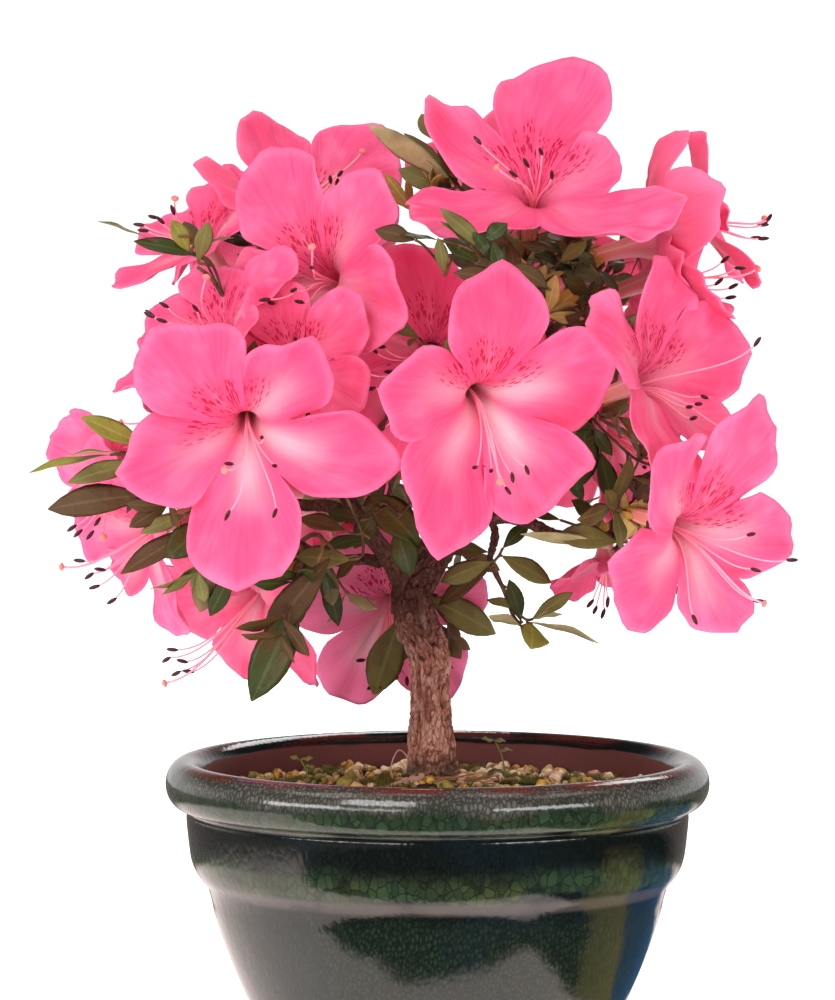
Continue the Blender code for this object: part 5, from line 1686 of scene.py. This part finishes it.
def growBlooms(mass, nodes, chance):
    # A twig to each bloom's foot with five bud scales round it, and the leaves to grow below
    feet = {name: item["throat"] - bloomAxes(item)[2] * throatHeight(item["size"])
            for name, item in blooms.items() if item["mass"] == mass}
    for name in sorted(feet, key=lambda name: np.linalg.norm(feet[name] - nodes[0][0])):
        foot = feet[name]
        right, up, outward = bloomAxes(blooms[name])
        growTwig(nodes, foot + outward, outward, twigPlan["bloomRadius"])
        for index in range(5):
            turn = math.radians(72 * index + chance.uniform(-8, 8))
            spoke = math.cos(turn) * right + math.sin(turn) * up
            root, way = foot + outward * 0.6 + spoke * 0.8, unit(outward + spoke * 0.35)
            length = chance.uniform(*leafPlan["scaleLength"])
            leaves["bud"].append(leafSkin(root, way, spoke, length, chance))
        tint = chance.choice(("dark", "bronze", "olive"))
        drop, step = leafPlan["ownDrop"]
        for index in range(leafPlan["ownWhorl"]):
            length = chance.uniform(*leafPlan["ownLength"])
            yield (foot - outward * (drop + step * index), outward, index, length,
                   leafPlan["ownSpread"], tint)


def growShoots(mass, nodes, chance):
    # A twig to each shoot's tip, and the whorl of leaves to grow down from there
    for owner, tip, toward, *whorl in shoots:
        if owner != mass:
            continue
        tip, axis = np.array(tip, float), unit(np.array(toward, float))
        lower = growTwig(nodes, tip, axis, twigPlan["shootRadius"])
        count, length, spread, tint = whorl or (0, 0, 0, "")
        for index in range(count):
            share = leafPlan["whorlShare"] * (index + 0.5) / count
            yield tip + (lower - tip) * share, axis, index, length * chance.uniform(0.85, 1.1), spread, tint


def growShown(mass, nodes, chance):
    # The leaves and bud scales that the photograph shows one by one, each on its own stalk
    for owner, depth, group in shownLeaves:
        for rootPixel, tipPixel, width, turned, tint, ahead in group if owner == mass else ():
            root, tip = photoPoint(rootPixel, depth), photoPoint(tipPixel, depth - ahead)
            length = np.linalg.norm(tip - root)
            direction = (tip - root) / length
            growTwig(nodes, root, direction, twigPlan["petioleRadius"], twigPlan["fineRadius"])
            away = math.radians(turned)
            face = np.array((0.12, -math.cos(away), math.sin(away) + 0.15))
            leaves[tint].append(leafSkin(root, direction, face, length, chance, width))
    for owner, depth, rootPixel, tipPixels, width in budScales:
        if owner != mass:
            continue
        root = photoPoint(rootPixel, depth)
        middle = unit(sum(photoPoint(pixel, depth) for pixel in tipPixels) / len(tipPixels) - root)
        growTwig(nodes, root, middle, twigPlan["shootRadius"])
        for index, pixel in enumerate(tipPixels):
            span = photoPoint(pixel, depth + 6 - 6 * (index % 3)) - root
            face = unit(unit(span) - middle) + np.array((0, -0.8, 0.2))
            leaves["bud"].append(leafSkin(root, unit(span), -face, np.linalg.norm(span), chance, width))


def growFine(bearers, chance):
    # Fine twigs that head out of the crown where no petal is in the way, and the leaves for their ends
    plan = twigPlan
    for _ in range(plan["fineTwigs"]):
        start, heading, _ = bearers[chance.randrange(len(bearers))]
        outwards = unit(start - np.array(plan["heart"]))
        for _ in range(leafPlan["tries"]):
            stray = np.array([chance.gauss(0, plan["fineStray"]) for _ in range(3)])
            aim = unit(heading + plan["outPull"] * outwards + stray)
            length = chance.uniform(*plan["fineLength"])
            path = bezier(start, unit(heading + aim), start + aim * length, aim, 6)
            if petalGap(path[2:]).min() > leafPlan["clearOfPetals"]:
                break
        else:
            continue
        twigs.append(tube(path, np.linspace(plan["fineRadius"], plan["fineTip"], len(path)), 6))
        tint = chance.choice(("dark", "dark", "olive", "bronze"))
        for index in range(chance.randint(*plan["fineLeaves"])):
            length = chance.uniform(*plan["fineLeafLength"])
            yield path[-1 - index // 2], aim, index, length, plan["fineSpread"], tint


def growLeaf(root, axis, index, length, spread, tint, chance):
    # Turns round the axis by the golden angle, and a little on where petals are in the way
    plan = leafPlan
    for attempt in range(plan["tries"]):
        turn = plan["goldenTurn"] * index + plan["turnOn"] * attempt + chance.uniform(*plan["turnStray"])
        turn = math.radians(turn)
        aside = unit(np.cross(axis, (0.3, 0.2, 0.9)))
        aside = aside * math.cos(turn) + np.cross(axis, aside) * math.sin(turn)
        lean = math.radians(spread * chance.uniform(*plan["spreadShare"]))
        direction = axis * math.cos(lean) + aside * math.sin(lean)
        middle = root + direction * length * np.array((0.45, 0.75, 1.0))[:, None]
        if petalGap(middle).min() > plan["clearOfPetals"]:
            leaves[tint].append(leafSkin(root, direction, axis, length, chance))
            break


def growMass(mass):
    # A mass grows its twigs first, and then its leaves where no petal is in their way
    chance = random.Random(mass)
    nodes = startMass(mass)
    whorls = [*growBlooms(mass, nodes, chance), *growShoots(mass, nodes, chance)]
    bearers = list(nodes)
    growShown(mass, nodes, chance)
    if mass != "leaves_spray":
        whorls += growFine(bearers, chance)
    for whorl in whorls:
        growLeaf(*whorl, chance)


def leafMaterials(tint):
    # Upper and lower side: blotched and browned, with a paler midrib
    *shades, rib = leafPlan["tints"][tint]
    result = []
    for side, shade in zip(("upper", "lower"), shades):
        name, gloss = "leaf_" + tint + "_" + side, 0.36 if tint == "dark" and side == "upper" else 0.55
        material, tree, shader = newMaterial(name, Roughness=gloss, Specular_IOR_Level=0.3)
        spot = place(tree)
        offset = maths("ABSOLUTE", parts(place(tree, uvMap="leafPlan"))["X"])
        base = layered(
            shade,
            (rising(grains(spot, 120), 0.35, 0.7) * 0.5, darker(shade, 0.5)),
            (rising(grains(spot, 60), 0.52, 0.72) * 0.45, leafPlan["brown"]),
            (rising(offset, 0.14, 0.04) * 0.55, rib))
        setInputs(shader, {"Base Color": base})
        addBump(shader, grains(spot, 420), 0.0006, 0.6)
        result.append(material)
    return result


for mass in masses:
    growMass(mass)
twigBark = speckled("twig_bark", 0.75, (twigPlan["bark"], twigPlan["green"]), (200, 4), (0.4, 0.65),
                    (1500, 3), 0.0004)
addPiece("twigs", twigs, [twigBark], list(masses))
for tint, skins in leaves.items():
    addPiece("bud_scales" if tint == "bud" else "leaves_" + tint, skins, leafMaterials(tint))
makeLitter()
print("twigs and leaves are grown:", {tint: len(skins) for tint, skins in leaves.items()})
